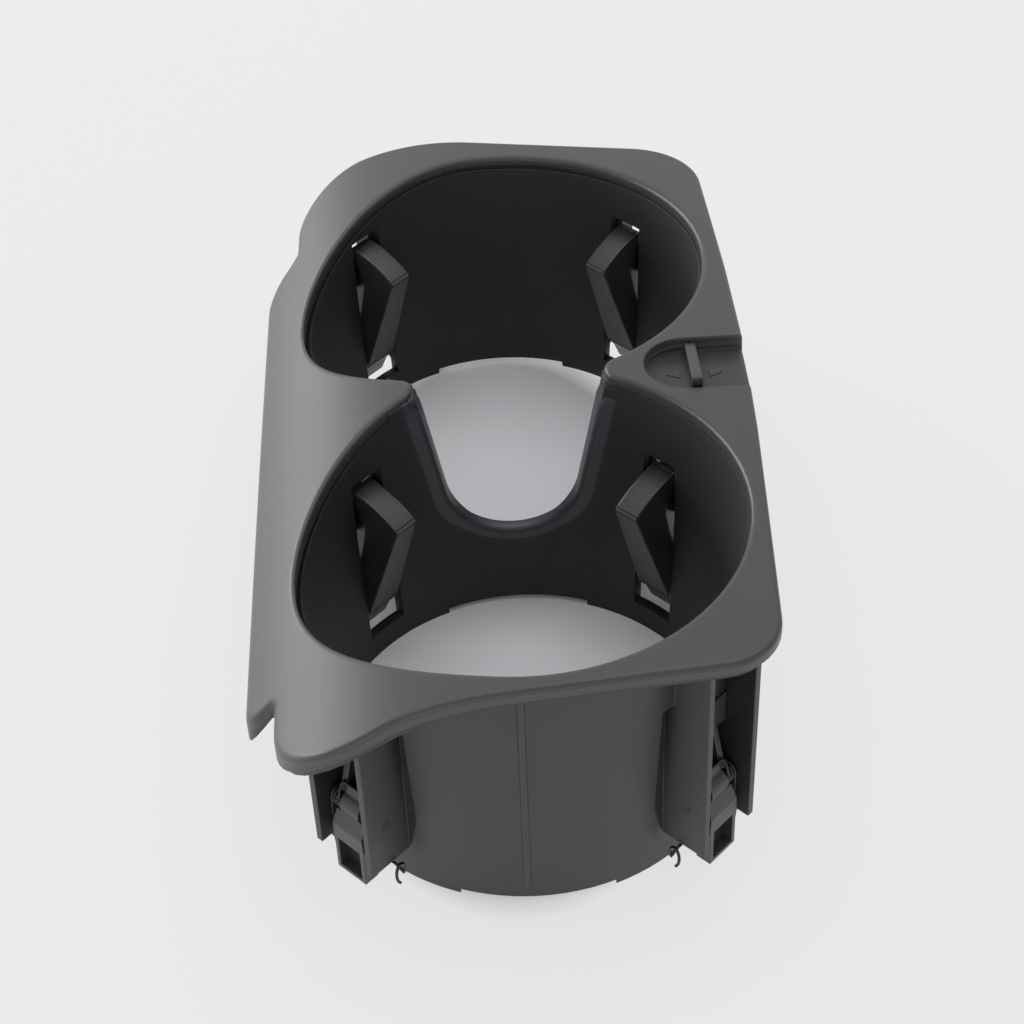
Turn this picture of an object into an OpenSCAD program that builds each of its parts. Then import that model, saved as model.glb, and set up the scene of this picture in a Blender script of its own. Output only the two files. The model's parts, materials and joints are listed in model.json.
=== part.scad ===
// Car console cup holder: two tapered cups in one moulding, a rolled top bezel, and
// eight sprung flaps that lean into the cups and hold what stands in them.
// X runs across the car, with the rolled flank on the left, Y to the rear, Z up.
// The four lobes at the foot of each cup stand at Z = 0.

/* [Cups] */
// Distance between the two cup axes
cup_spacing = 76.5; // [74:0.5:84]
// Inner radius of a cup at its foot
foot_r = 37; // [34:0.25:38]
// Inner radius of a cup at the bezel
rim_r = 40.1; // [39:0.1:41.5]
// Thickness of a cup's wall
cup_wall = 2.1; // [1.6:0.1:3]
// Thickness of the web that the two cups share
web_t = 2.4; // [1.6:0.1:4]
// Height of the relief at the foot, between the lobes
relief_h = 1.1; // [0.5:0.1:3]
// Width of each relief
relief_w = 28; // [16:1:34]

/* [Notch between the cups] */
// Height of the notch's lowest point
notch_h = 19.6; // [14:0.2:26]
// Radius of the notch's round bottom
notch_r = 13.5; // [8:0.5:15]
// Lean of the notch's sides
notch_lean = 10.5; // [4:0.5:12]

/* [Bezel] */
// Greatest height of the bezel
top_h = 60.7; // [58:0.1:66]
// Thickness of the bezel's shell
shell_t = 2.6; // [1.8:0.1:3.4]
// Radius of the long crown from front to rear
crown_r = 1900; // [1400:50:3000]
// Distance of the crown's crest in front of the front cup's axis
crest_y = 50; // [20:5:80]
// Radius of the roll along the left flank
roll_r = 51.5; // [50:0.5:80]
// Distance of the roll's start to the left of the cup axes
roll_start = 4.5; // [0:0.5:10]
// Reach of the left flank from the cup axes
flank_reach = 49.6; // [48:0.1:50.5]
// Reach of the right edge from the cup axes at its fullest
right_reach = 44.8; // [44:0.1:48]
// Reach of the front lobe's corner in front of the front cup's axis
front_lobe = 52.5; // [50:0.1:56]
// Reach of the front right corner in front of that axis
front_right = 40; // [39:0.1:46]
// Reach of the rear lobe's corner behind the rear cup's axis
rear_lobe = 55.7; // [52:0.1:58]
// Reach of the rear right corner behind that axis
rear_right = 39.2; // [38.5:0.1:46]
// Reach of both lobes' corners to the left of the cup axes
lobe_reach = 43.5; // [42.5:0.1:44.5]
// Half width of the gap between the two necks
neck_half = 18; // [15:0.5:20]

/* [Flange of the cup moulding] */
// Thickness of the flange under the bezel
flange_t = 1.8; // [1.2:0.1:2.4]
// Setback of the flange from the bezel's edge
flange_inset = 1.2; // [0.6:0.1:3]
// Gap between the two mouldings
seam = 0.1; // [0.05:0.01:0.2]

/* [Pockets] */
// Distance between the outer faces of a pocket's two plates
pocket_w = 14; // [13:0.1:14.5]
// Thickness of a pocket plate
plate_t = 1.3; // [1:0.1:1.8]
// Height of a plate's lower edge
plate_foot = 9; // [7:0.5:11]
// Reach of the plates that face the outside, from the cup axis
plate_reach = 48.4; // [47:0.1:51]
// Reach of the plates between the two cups
inner_reach = 46.2; // [46:0.1:46.6]
// Width of a flap's slot in the cup wall
slot_w = 9; // [8.4:0.1:9.6]
// Width of the slot at its upper end
slot_top_w = 7.6; // [7:0.1:8.4]
// Height of the slot's lower end
slot_foot = 5; // [4:0.5:6]
// Height of the slot's upper end
slot_top = 43.6; // [43.2:0.1:45]
// Width of the groove beside a plate
groove_w = 2.2; // [1:0.1:3]
// Depth of that groove
groove_d = 1.2; // [0.5:0.1:1.5]
// Diameter of the half-round rib down the front wall
rib_d = 1.4; // [1:0.1:2]
// Height of that rib's lower end
rib_foot = 4.6; // [3:0.2:12]

/* [Flaps] */
// Distance of a flap's pivot from the cup axis
pivot_reach = 43.8; // [43.5:0.1:44]
// Height of the pivot
pivot_h = 19.5; // [18:0.1:21]
// Distance of a flap's tip from the cup axis
tip_reach = 29; // [27:0.1:31]
// Height of the tip
tip_h = 37.2; // [35:0.1:38]
// Width of a flap at its tip
tip_w = 4.9; // [4:0.1:6]
// Width of a flap at its lower end
heel_w = 7.6; // [6.6:0.1:8]
// Thickness of a flap's walls
flap_t = 1.3; // [1:0.1:1.6]
// Diameter of the hub round the pivot pin
hub_d = 5; // [4.4:0.1:5.2]
// Width of the hub between the coils
hub_w = 4.6; // [4:0.1:4.8]
// Lower end of the flap's tail
tail_foot = 3; // [2:0.1:5]
// Width of the tail
tail_w = 7; // [5:0.1:7.4]
// Height of the stops that hold a flap at rest against the wall
stop_h = 31; // [28:0.5:31]
// How far a flap swings outwards, in degrees
swing = 16; // [12:1:16]

/* [Pins and springs] */
// Diameter of a pivot pin
pin_d = 1.8; // [1.4:0.1:2]
// Running clearance of the hub on the pin, on the radius
pin_play = 0.05; // [0.02:0.01:0.1]
// Clearance of the pin in its plates, on the radius
pin_seat = 0.02; // [0.01:0.01:0.03]
// Thickness of the spring wire
wire_d = 0.6; // [0.5:0.05:0.7]
// Mean radius of a spring coil
coil_r = 1.95; // [1.9:0.01:2.1]
// Turns in one spring coil
coil_turns = 3; // [2:1:3]
// Rise of the spring's bar over the pivot
bar_rise = 5.2; // [4:0.1:8]

/* [Release catch] */
// Length of the finger recess along the neck
recess_l = 19.4; // [18:0.2:20.4]
// Width of the finger recess
recess_w = 15.8; // [13:0.1:16.4]
// Depth of the recess at its rear wall
recess_d = 3; // [2:0.1:3.4]
// Thickness of the recess's floor
recess_floor = 1.3; // [1:0.1:1.8]
// Thickness of the catch's fin
fin_t = 1.9; // [1.5:0.1:2.2]
// Length of the fin
fin_l = 13.8; // [12:0.1:14.2]
// Rise of the fin over the recess's floor
fin_h = 1.8; // [1:0.1:2.4]
// Distance of the fin to the right of the cup axes
fin_x = 34.8; // [33.8:0.2:36]
// Travel of the catch to each side
catch_travel = 2.5; // [1:0.1:2.6]
// Clearance round the catch
catch_gap = 0.25; // [0.15:0.05:0.4]

/* [Hidden] */
$fn = 96;
E = 0.01;
arc_step = 12;
high = 90;
crown_span = 12;
skirt_low = 15;
cone_slope = (rim_r - foot_r) / 57;
cups = [0, cup_spacing];
mid_y = cup_spacing / 2;
web_reach = max(web_t, cup_spacing - 2 * (foot_r + cup_wall) + 1);

// Each flap: its cup's axis, its direction and the reach of its pocket's plates.
flaps = [
    [cups[0], 45, inner_reach],
    [cups[0], 135, inner_reach],
    [cups[0], 225, plate_reach],
    [cups[0], 315, plate_reach],
    [cups[1], 45, plate_reach],
    [cups[1], 135, plate_reach],
    [cups[1], 225, inner_reach],
    [cups[1], 315, inner_reach]
];

// The bezel's outline, anticlockwise from the front lobe, as corners with their fillets.
lobe_x = -lobe_reach;
skirt_front = -25.5;
skirt_rear = cup_spacing + 28.5;
front_bend = [-23, -46.2];
front_draw = 3.3;
rear_draw = 2.1;
side_bulge = 0.7;
lobe_draw = 0.9;
step_slant = 2.5;
corners = [
    [lobe_x, -front_lobe, 14],
    [front_bend[0], front_bend[1], 40],
    [right_reach - front_draw, -front_right, 11],
    [right_reach + side_bulge, mid_y + 6, 600],
    [right_reach - rear_draw, cup_spacing + rear_right, 16],
    [lobe_x + lobe_draw, cup_spacing + rear_lobe, 13],
    [lobe_x + lobe_draw, skirt_rear + step_slant, 3],
    [-flank_reach, skirt_rear, 6],
    [-flank_reach, skirt_front, 4.5],
    [lobe_x, skirt_front, 0.8]
];

function wrap(list, i) = list[(i + len(list)) % len(list)];
function unit2(v) = v / norm(v);

// Points of the fillet at corner i of a closed outline, moved inwards by d.
function fillet(list, i, d) =
    let (
        p = [wrap(list, i)[0], wrap(list, i)[1]],
        a = [wrap(list, i - 1)[0], wrap(list, i - 1)[1]],
        b = [wrap(list, i + 1)[0], wrap(list, i + 1)[1]],
        u = unit2(a - p),
        v = unit2(b - p),
        half = acos(u * v) / 2,
        turn = u[0] * v[1] - u[1] * v[0] < 0 ? 1 : -1,
        r = wrap(list, i)[2],
        centre = p + unit2(u + v) * r / sin(half),
        sweep = 180 - 2 * half,
        start = atan2(-turn * -u[0], -turn * u[1]),
        steps = max(1, ceil(sweep / arc_step)),
        rr = max(r - turn * d, 0.05)
    )
    [for (k = [0:steps]) centre + rr * [cos(start + turn * sweep * k / steps),
        sin(start + turn * sweep * k / steps)]];

function outline(d) = [for (i = [0:len(corners) - 1]) each fillet(corners, i, d)];
edge = outline(0);
edge_x = [for (p = edge) p[0]];
edge_y = [for (p = edge) p[1]];
origin_x = (min(edge_x) + max(edge_x)) / 2;
origin_y = (min(edge_y) + max(edge_y)) / 2;

// Height of the bezel's crown at a distance y behind the front cup's axis.
function crown(y) = top_h - crown_r + sqrt(pow(crown_r, 2) - pow(y + crest_y, 2));

module in_place() {
    translate([-origin_x, -origin_y, 0]) children();
}

module at_flap(f) {
    translate([0, f[0], 0]) rotate([0, 0, f[1]]) children();
}

// Solid below the bezel's top surface, lowered by d: a flat top that rolls down on the
// left, turned about the far centre of the long crown.
module below_top(d) {
    translate([0, -crest_y, top_h - crown_r])
        rotate([0, 90, 0])
            rotate([0, 0, 180])
                rotate([0, 0, -crown_span / 2])
                    rotate_extrude(angle = crown_span, $fn = 2400)
                        top_profile(d);
}

// Section of that solid across the car, at the crown's radius: the flat top, the roll, and
// the upright side below the roll.
module top_profile(d) {
    translate([crown_r - high, -roll_start])
        square([high - d, right_reach + 10 + roll_start]);
    intersection() {
        translate([crown_r - roll_r, -roll_start])
            circle(r = roll_r - d, $fn = 180);
        translate([crown_r - roll_r, -roll_start - roll_r])
            square([roll_r, roll_r + E]);
    }
    translate([crown_r - high, -roll_start - roll_r + d])
        square([high - roll_r + E, roll_r - d + E]);
}

module outline_prism(d, low, top) {
    translate([0, 0, low])
        linear_extrude(top - low)
            polygon(outline(d));
}

// Taper of both cups' insides
module cavities() {
    for (y = cups)
        translate([0, y, -1])
            cylinder(h = high, r1 = foot_r - cone_slope, r2 = foot_r + cone_slope * (high - 1));
}

// Shape of the bezel's opening: two round mouths joined by a neck, whose round tips meet
// the mouths in tangents and sink 0.02 into them.
mouth_r = foot_r + cone_slope * top_h;
tip_r = max(0.6, (pow(neck_half, 2) + pow(mid_y, 2) - pow(mouth_r, 2)) / (2 * (mouth_r - neck_half)));
touch = mouth_r * [neck_half + tip_r, mid_y] / (mouth_r + tip_r) - [0.1, 0.1];

module mouth() {
    difference() {
        union() {
            for (y = cups) translate([0, y]) circle(r = mouth_r, $fn = 180);
            translate([-touch[0], touch[1]])
                square([2 * touch[0], cup_spacing - 2 * touch[1]]);
        }
        for (s = [-1, 1])
            translate([s * (neck_half + tip_r), mid_y])
                circle(r = tip_r + 0.02, $fn = 64);
    }
}

// Notch in the web: a round whose leaning sides start a little inside its tangents.
module notch() {
    inner_r = notch_r - 0.05;
    cx = inner_r * cos(notch_lean);
    low = notch_h + notch_r - inner_r * sin(notch_lean);
    wide = cx + (top_h + 5 - low) * tan(notch_lean);
    depth = 16;
    translate([0, mid_y + depth / 2, 0])
        rotate([90, 0, 0])
            linear_extrude(depth) {
                translate([0, notch_h + notch_r]) circle(r = notch_r);
                polygon([[-cx, low], [cx, low], [wide, top_h + 5], [-wide, top_h + 5]]);
            }
}

// Finger recess in the right neck, grown by d: a stadium open at the right edge.
module recess_plan(d) {
    translate([right_reach - recess_l + recess_w / 2, mid_y])
        circle(r = recess_w / 2 + d, $fn = 64);
    translate([right_reach - recess_l + recess_w / 2, mid_y - recess_w / 2 - d])
        square([recess_l, recess_w + 2 * d]);
}

ramp = atan(recess_d / recess_w);
recess_low = crown(mid_y + recess_w / 2) - recess_d;

// Frame on the recess's sloping floor, with its origin at the floor's rear edge.
module on_ramp() {
    translate([0, mid_y + recess_w / 2, recess_low])
        rotate([-ramp, 0, 0])
            children();
}

module recess_cut() {
    intersection() {
        translate([0, 0, skirt_low]) linear_extrude(high) recess_plan(0);
        on_ramp() translate([0, -high / 2, 0]) cube([high, high, high / 2]);
    }
}

// Pan that carries the recess's floor, grown by d for the pocket that it lies in.
module recess_pan(d) {
    intersection() {
        translate([0, 0, skirt_low]) linear_extrude(high) recess_plan(recess_floor + d);
        on_ramp() translate([0, -high / 2, -recess_floor - d]) cube([high, high, high / 2]);
        below_top(shell_t - 0.2);
        outline_prism(0.02, skirt_low, high);
    }
}

// The fin lies along the middle of the floor; its stem and the slot are at its rear end,
// in the rear wall's shade, and a plate under the floor holds it.
catch_y = -recess_w / 2 / cos(ramp);
stem_l = 3;
stem_y = catch_y + (fin_l - stem_l) / 2;
plate = [8, 6, 1];

module catch_slot() {
    on_ramp()
        translate([fin_x - fin_t / 2 - catch_travel - catch_gap,
                stem_y - stem_l / 2 - catch_gap, -recess_floor - 1])
            cube([fin_t + 2 * catch_travel + 2 * catch_gap,
                stem_l + 2 * catch_gap, recess_floor + 1 + recess_d / 2]);
}

module top_bezel() {
    color([0.27, 0.26, 0.26])
        in_place()
            difference() {
                union() {
                    difference() {
                        intersection() {
                            outline_prism(0, skirt_low, high);
                            below_top(0);
                        }
                        below_top(shell_t);
                    }
                    recess_pan(0);
                }
                translate([0, 0, skirt_low]) linear_extrude(high) mouth();
                recess_cut();
                catch_slot();
                for (f = flaps) swing_room(f);
            }
}

module pocket_plates(f) {
    at_flap(f)
        for (s = [-1, 1])
            translate([foot_r - 1, s * (pocket_w - plate_t) / 2 - plate_t / 2, plate_foot])
                cube([f[2] - foot_r + 1, plate_t, top_h - plate_foot]);
}

module pocket_cuts(f) {
    wall_out = foot_r + cup_wall + cone_slope * pivot_h;
    at_flap(f) {
        translate([foot_r - 6, 0, 0]) rotate([90, 0, 90])
            linear_extrude(12)
                polygon([[-slot_w / 2, slot_foot], [slot_w / 2, slot_foot],
                    [slot_w / 2, pivot_h], [slot_top_w / 2, slot_top],
                    [-slot_top_w / 2, slot_top], [-slot_w / 2, pivot_h]]);
        translate([pivot_reach, pocket_w, pivot_h])
            rotate([90, 0, 0])
                cylinder(h = 2 * pocket_w, r = pin_d / 2 + pin_seat);
        for (s = [-1, 1])
            translate([wall_out - groove_d, s * (pocket_w + groove_w) / 2 - groove_w / 2,
                    plate_foot])
                cube([8, groove_w, slot_top - plate_foot]);
    }
}

// Room below the flange and the bezel in which a flap's top and its stop swing
module swing_room(f) {
    room = 0.4;
    low = stop_h - 1;
    at_flap(f)
        intersection() {
            translate([pivot_reach, 0, pivot_h]) rotate([90, 0, 0]) {
                cylinder(h = tip_w + 1, r = top_r(90 + swing) + room, center = true, $fn = 180);
                cylinder(h = pocket_in, r = stop_r + room, center = true, $fn = 180);
            }
            translate([stop_x - 0.04, -pocket_in / 2, low])
                cube([pivot_reach + back_r * cos(back_angle - swing) + 1 - stop_x, pocket_in,
                    top_h - low]);
        }
}

module cup_walls() {
    for (y = cups)
        translate([0, y, 0])
            cylinder(h = high, r1 = foot_r + cup_wall,
                r2 = foot_r + cup_wall + cone_slope * high);
}

module flange() {
    difference() {
        intersection() {
            outline_prism(flange_inset, skirt_low, high);
            translate([lobe_x + flange_inset, -high, skirt_low]) cube([2 * high, 4 * high, high]);
        }
        below_top(shell_t + seam + flange_t);
    }
}

module front_rib() {
    rib_y = -(foot_r + cup_wall + cone_slope * rib_foot);
    translate([-2, rib_y + 0.1, rib_foot])
        rotate([atan(cone_slope), 0, 0])
            cylinder(h = top_h - rib_foot, d = rib_d, $fn = 24);
}

// Room for the catch's plate and its travel, under the recess
module plate_room() {
    gap = 2 * catch_gap;
    on_ramp()
        translate([fin_x - plate[0] / 2 - catch_travel - gap, stem_y - plate[1] / 2 - gap,
                -recess_floor - plate[2] - 2 * gap])
            cube([plate[0] + 2 * catch_travel + 2 * gap, plate[1] + 2 * gap, plate[2] + 2 * gap]);
}

// The four gaps between the lobes of each foot
module reliefs() {
    for (y = cups, a = [0:90:270])
        translate([0, y, 0]) rotate([0, 0, a])
            translate([-relief_w / 2, foot_r - 6, -1])
                cube([relief_w, 10, relief_h + 1]);
}

module cup_body() {
    color([0.2, 0.195, 0.21])
        in_place()
            difference() {
                union() {
                    difference() {
                        union() {
                            cup_walls();
                            flange();
                            for (f = flaps) pocket_plates(f);
                            front_rib();
                        }
                        cavities();
                    }
                    translate([-relief_w / 2, mid_y - web_reach / 2, 0])
                        cube([relief_w, web_reach, top_h - shell_t]);
                }
                notch();
                for (f = flaps) pocket_cuts(f);
                reliefs();
                difference() {
                    translate([-2 * high, -2 * high, skirt_low + 5]) cube([4 * high, 6 * high, high]);
                    below_top(shell_t + seam);
                }
                recess_pan(seam);
                for (f = flaps) swing_room(f);
                plate_room();
            }
}

// Side view of a flap: radial distance and height, with the top face round the pivot.
top_arc_r = norm([tip_reach - pivot_reach, tip_h - pivot_h]);
tip_angle = atan2(tip_h - pivot_h, tip_reach - pivot_reach);
back_angle = 97;
top_fall = 1.25;
back_r = top_arc_r - top_fall;
back_low = [1, 1.5];
back_top = back_r * [cos(back_angle), sin(back_angle)];
stop_l = 7;
stop_gap = 0.05;
stop_x = foot_r + cup_wall + cone_slope * (stop_h + stop_l) + stop_gap;
stop_r = norm([stop_x + flap_t - pivot_reach, stop_h + stop_l - pivot_h]);

// Radius of the top face round the pivot, which falls a little from the tip to the back.
function top_r(a) = top_arc_r + (back_r - top_arc_r) * (tip_angle - a) / (tip_angle - back_angle);
tail_in = pivot_reach + 0.3;
tail_out = pivot_reach + 3.4;
heel = [pivot_reach - 6, pivot_h - 8.5];
chin = [pivot_reach - 4.2, pivot_h - 11];
// The flap's lower corner, close enough to the pivot to swing in over the slot's foot
sole_in = 2.5;
sole_r = norm([pivot_reach - foot_r - cup_wall - cone_slope * slot_foot, pivot_h - slot_foot]) - 0.15;
sole = [pivot_reach - sole_in, pivot_h - sqrt(pow(sole_r, 2) - pow(sole_in, 2))];
pocket_in = pocket_w - 2 * plate_t;

// Distance of a flap's back behind the pivot at a rise over it.
function flap_back(rise) = back_low[0]
    + (back_top[0] - back_low[0]) * (rise - back_low[1]) / (back_top[1] - back_low[1]);

module flap_side() {
    polygon(concat(
        [for (k = [0:6])
            let (a = tip_angle + (back_angle - tip_angle) * k / 6)
            [pivot_reach + top_r(a) * cos(a), pivot_h + top_r(a) * sin(a)]],
        [[pivot_reach + back_low[0], pivot_h + back_low[1]],
        [tail_out, pivot_h - hub_d / 2 - 2],
        [tail_out, tail_foot],
        [tail_in, tail_foot],
        [tail_in, slot_foot - 0.1],
        sole,
        chin,
        heel]));
}

module flap(f) {
    color([0.16, 0.16, 0.165])
        in_place() at_flap(f)
            difference() {
                union() {
                    intersection() {
                        translate([0, heel_w / 2, 0]) rotate([90, 0, 0])
                            linear_extrude(heel_w) flap_side();
                        flap_taper(0);
                    }
                    translate([pivot_reach, hub_w / 2, pivot_h]) rotate([90, 0, 0])
                        cylinder(h = hub_w, d = hub_d);
                    translate([pivot_reach, pocket_in / 2 - side_play, pivot_h])
                        rotate([90, 0, 0])
                            cylinder(h = pocket_in - 2 * side_play, d = sleeve_d);
                    translate([stop_x, -pocket_in / 2 + side_play, stop_h])
                        cube([flap_t, pocket_in - 2 * side_play, stop_l]);
                }
                flap_hollow();
                tail_hollow();
                translate([pivot_reach, pocket_w, pivot_h]) rotate([90, 0, 0])
                    cylinder(h = 2 * pocket_w, r = pin_d / 2 + pin_play);
                coil_room();
            }
}

side_play = 0.2;
sleeve_d = 2 * (coil_r - wire_d / 2) - 0.3;

// Outer form of a flap seen along the radius, drawn in by d on each side.
module flap_taper(d) {
    translate([tip_reach - 5, 0, 0]) rotate([90, 0, 90])
        linear_extrude(40)
            polygon([[-tail_w / 2 + d, 0], [tail_w / 2 - d, 0],
                [tail_w / 2 - d, pivot_h - 10], [heel_w / 2 - d, pivot_h - 8],
                [tip_w / 2 - d, tip_h], [tip_w / 2 - d, high],
                [-tip_w / 2 + d, high], [-tip_w / 2 + d, tip_h],
                [-heel_w / 2 + d, pivot_h - 8], [-tail_w / 2 + d, pivot_h - 10]]);
}

// Room inside the flap's wedge, open at its back
module flap_hollow() {
    intersection() {
        translate([0, heel_w / 2, 0]) rotate([90, 0, 0])
            linear_extrude(heel_w)
                polygon(concat(
                    [for (k = [0:5])
                        let (a = tip_angle - 5 + (back_angle - 12 - tip_angle) * k / 5,
                            in_r = top_r(a) - flap_t)
                        [pivot_reach + in_r * cos(a), pivot_h + in_r * sin(a)]],
                    [[pivot_reach + 2, pivot_h + hub_d / 2 + 4],
                    [pivot_reach - 1, pivot_h + hub_d / 2 + 1],
                    [pivot_reach - 5.3, pivot_h - 2]]));
        flap_taper(flap_t);
    }
}

module tail_hollow() {
    wall = 0.8;
    depth = 7.5;
    translate([tail_in + wall, -tail_w / 2 + wall, tail_foot + wall])
        cube([2 * (tail_out - tail_in), tail_w - 2 * wall, depth]);
}

// Space that the two coils take beside the hub
module coil_room() {
    room_w = 4;
    room = 0.3;
    for (s = [-1, 1])
        translate([pivot_reach, s * (hub_w + room_w) / 2, pivot_h]) rotate([90, 0, 0])
            difference() {
                cylinder(h = room_w, r = coil_r + wire_d / 2 + room, center = true);
                cylinder(h = room_w + 1, d = sleeve_d, center = true);
            }
}

module pin(f) {
    color([0.62, 0.62, 0.64])
        in_place() at_flap(f)
            translate([pivot_reach, pocket_w / 2, pivot_h]) rotate([90, 0, 0])
                cylinder(h = pocket_w, d = pin_d, $fn = 32);
}

// Spring wire: an oval loop below one plate, a leg up to the first coil, a bar across the
// flap's back, the second coil, and a leg and a loop again.
wire_sides = 6;
coil_steps = 12;
coil_pitch = wire_d + 0.05;
coil_in = hub_w / 2 + 0.25 + wire_d / 2;
coil_out = coil_in + coil_turns * coil_pitch;
leg_y = pocket_w / 2 + 0.6;
loop_in = 1.2;
loop_drift = 0.07;
loop_r = [1.2, 2.3];
loop_z = plate_foot - 0.9 - loop_r[1];
bar_x = pivot_reach + flap_back(bar_rise) + wire_d / 2 + 0.15;

function loop_point(k) =
    let (a = -60 + k * 30)
    [pivot_reach - loop_in + loop_r[0] * cos(a), leg_y + loop_drift * (10 - k),
        loop_z + loop_r[1] * sin(a)];
function coil_point(k) =
    let (a = 360 * k / coil_steps)
    [pivot_reach + coil_r * cos(a), coil_out - coil_pitch * k / coil_steps,
        pivot_h + coil_r * sin(a)];
function half_wire() = concat(
    [for (k = [0:9]) loop_point(k)],
    [[pivot_reach - 0.9, pocket_w / 2 - 0.6, plate_foot - 1],
    [pivot_reach + 0.6, coil_out - 0.1, plate_foot - 0.2],
    [pivot_reach + coil_r - 0.2, coil_out, pivot_h - 5]],
    [for (k = [0:coil_turns * coil_steps]) coil_point(k)],
    [[bar_x + 0.7, coil_in - 0.05, pivot_h + bar_rise - 2],
    [bar_x + 0.1, coil_in - 0.2, pivot_h + bar_rise - 0.6],
    [bar_x, coil_in - 0.8, pivot_h + bar_rise]]);
function flip(list) = [for (i = [len(list) - 1:-1:0]) [list[i][0], -list[i][1], list[i][2]]];
function unit3(v) = v / norm(v);
function tangent(path, i) =
    unit3(path[min(i + 1, len(path) - 1)] - path[max(i - 1, 0)]);
// Frame normals carried along the path, each turned as little as its tangent allows.
function carried(path, i, n) =
    let (t = tangent(path, i), m = unit3(n - (n * t) * t))
    i == len(path) - 1 ? [m] : concat([m], carried(path, i + 1, m));

module sweep_wire(path, r) {
    first = abs(tangent(path, 0)[1]) < 0.8 ? [0, 1, 0] : [1, 0, 0];
    normals = carried(path, 0, first);
    count = len(path);
    points = [for (i = [0:count - 1], s = [0:wire_sides - 1])
        let (t = tangent(path, i), n = normals[i], b = cross(t, n))
        path[i] + r * (cos(360 * s / wire_sides) * n + sin(360 * s / wire_sides) * b)];
    sides = [for (i = [0:count - 2], s = [0:wire_sides - 1])
        let (a = i * wire_sides, next = (s + 1) % wire_sides)
        [a + s, a + wire_sides + s, a + wire_sides + next, a + next]];
    ends = [[for (s = [0:wire_sides - 1]) s],
        [for (s = [wire_sides - 1:-1:0]) (count - 1) * wire_sides + s]];
    polyhedron(points, concat(sides, ends), convexity = 6);
}

module spring(f) {
    color([0.1, 0.1, 0.1])
        in_place() at_flap(f)
            sweep_wire(concat(half_wire(), flip(half_wire())), wire_d / 2);
}

module release_catch() {
    color([0.15, 0.15, 0.155])
        in_place() on_ramp() {
            translate([fin_x - fin_t / 2, catch_y - fin_l / 2, catch_gap])
                cube([fin_t, fin_l, fin_h]);
            translate([fin_x - fin_t / 2, stem_y - stem_l / 2, -recess_floor - catch_gap - plate[2]])
                cube([fin_t, stem_l, recess_floor + 2 * catch_gap + plate[2]]);
            translate([fin_x - plate[0] / 2, stem_y - plate[1] / 2,
                    -recess_floor - catch_gap - plate[2]])
                cube(plate);
        }
}

cup_body();
top_bezel();
release_catch();
flap(flaps[0]);  // front_cup_flap_1
flap(flaps[1]);  // front_cup_flap_2
flap(flaps[2]);  // front_cup_flap_3
flap(flaps[3]);  // front_cup_flap_4
flap(flaps[4]);  // rear_cup_flap_1
flap(flaps[5]);  // rear_cup_flap_2
flap(flaps[6]);  // rear_cup_flap_3
flap(flaps[7]);  // rear_cup_flap_4
pin(flaps[0]);  // front_cup_pin_1
pin(flaps[1]);  // front_cup_pin_2
pin(flaps[2]);  // front_cup_pin_3
pin(flaps[3]);  // front_cup_pin_4
pin(flaps[4]);  // rear_cup_pin_1
pin(flaps[5]);  // rear_cup_pin_2
pin(flaps[6]);  // rear_cup_pin_3
pin(flaps[7]);  // rear_cup_pin_4
spring(flaps[0]);  // front_cup_spring_1
spring(flaps[1]);  // front_cup_spring_2
spring(flaps[2]);  // front_cup_spring_3
spring(flaps[3]);  // front_cup_spring_4
spring(flaps[4]);  // rear_cup_spring_1
spring(flaps[5]);  // rear_cup_spring_2
spring(flaps[6]);  // rear_cup_spring_3
spring(flaps[7]);  // rear_cup_spring_4
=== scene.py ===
import json
import math

import bpy
import numpy as np
from mathutils import Matrix, Vector


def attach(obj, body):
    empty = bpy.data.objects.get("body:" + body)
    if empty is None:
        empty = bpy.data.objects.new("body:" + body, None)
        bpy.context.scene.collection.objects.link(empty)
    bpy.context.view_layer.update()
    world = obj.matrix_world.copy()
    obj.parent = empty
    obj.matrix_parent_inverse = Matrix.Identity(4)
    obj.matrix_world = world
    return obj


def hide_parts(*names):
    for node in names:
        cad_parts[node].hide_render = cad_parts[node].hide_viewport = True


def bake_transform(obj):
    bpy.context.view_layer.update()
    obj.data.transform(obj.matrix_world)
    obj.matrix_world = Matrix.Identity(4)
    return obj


bl_info = {
    "name": "Console cup holder",
    "version": (1, 0, 0),
    "blender": (4, 5, 0),
    "location": "View3D > Sidebar > Cup holder",
    "description": "Dresses the console cup holder: rolled bezel, flaps, springs, catch and finishes",
    "category": "Object",
}

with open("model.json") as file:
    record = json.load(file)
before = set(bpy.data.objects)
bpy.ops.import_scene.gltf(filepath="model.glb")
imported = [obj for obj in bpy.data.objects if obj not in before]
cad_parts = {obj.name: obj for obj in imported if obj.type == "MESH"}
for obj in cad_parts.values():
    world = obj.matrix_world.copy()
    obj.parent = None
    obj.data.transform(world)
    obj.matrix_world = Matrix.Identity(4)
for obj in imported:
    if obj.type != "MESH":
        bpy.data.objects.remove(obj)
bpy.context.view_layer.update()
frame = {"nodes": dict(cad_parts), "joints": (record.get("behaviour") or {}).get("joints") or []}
MM = 0.001
JOINTS = {joint["name"]: joint for joint in frame["joints"]}
CUPS = ("front_cup", "rear_cup")
FLAPS = [(cup, number) for cup in CUPS for number in (1, 2, 3, 4)]


def pivot(cup, number):
    """Centre of a flap's hinge in the row frame, in millimetres."""
    return np.array(JOINTS[f"{cup}_hinge_{number}"]["pos_m"]) / MM


def cup_axis(cup):
    """The cup's axis: the mean of its four hinges, which stand evenly round it."""
    return np.mean([pivot(cup, number) for number in (1, 2, 3, 4)], axis=0)


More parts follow.
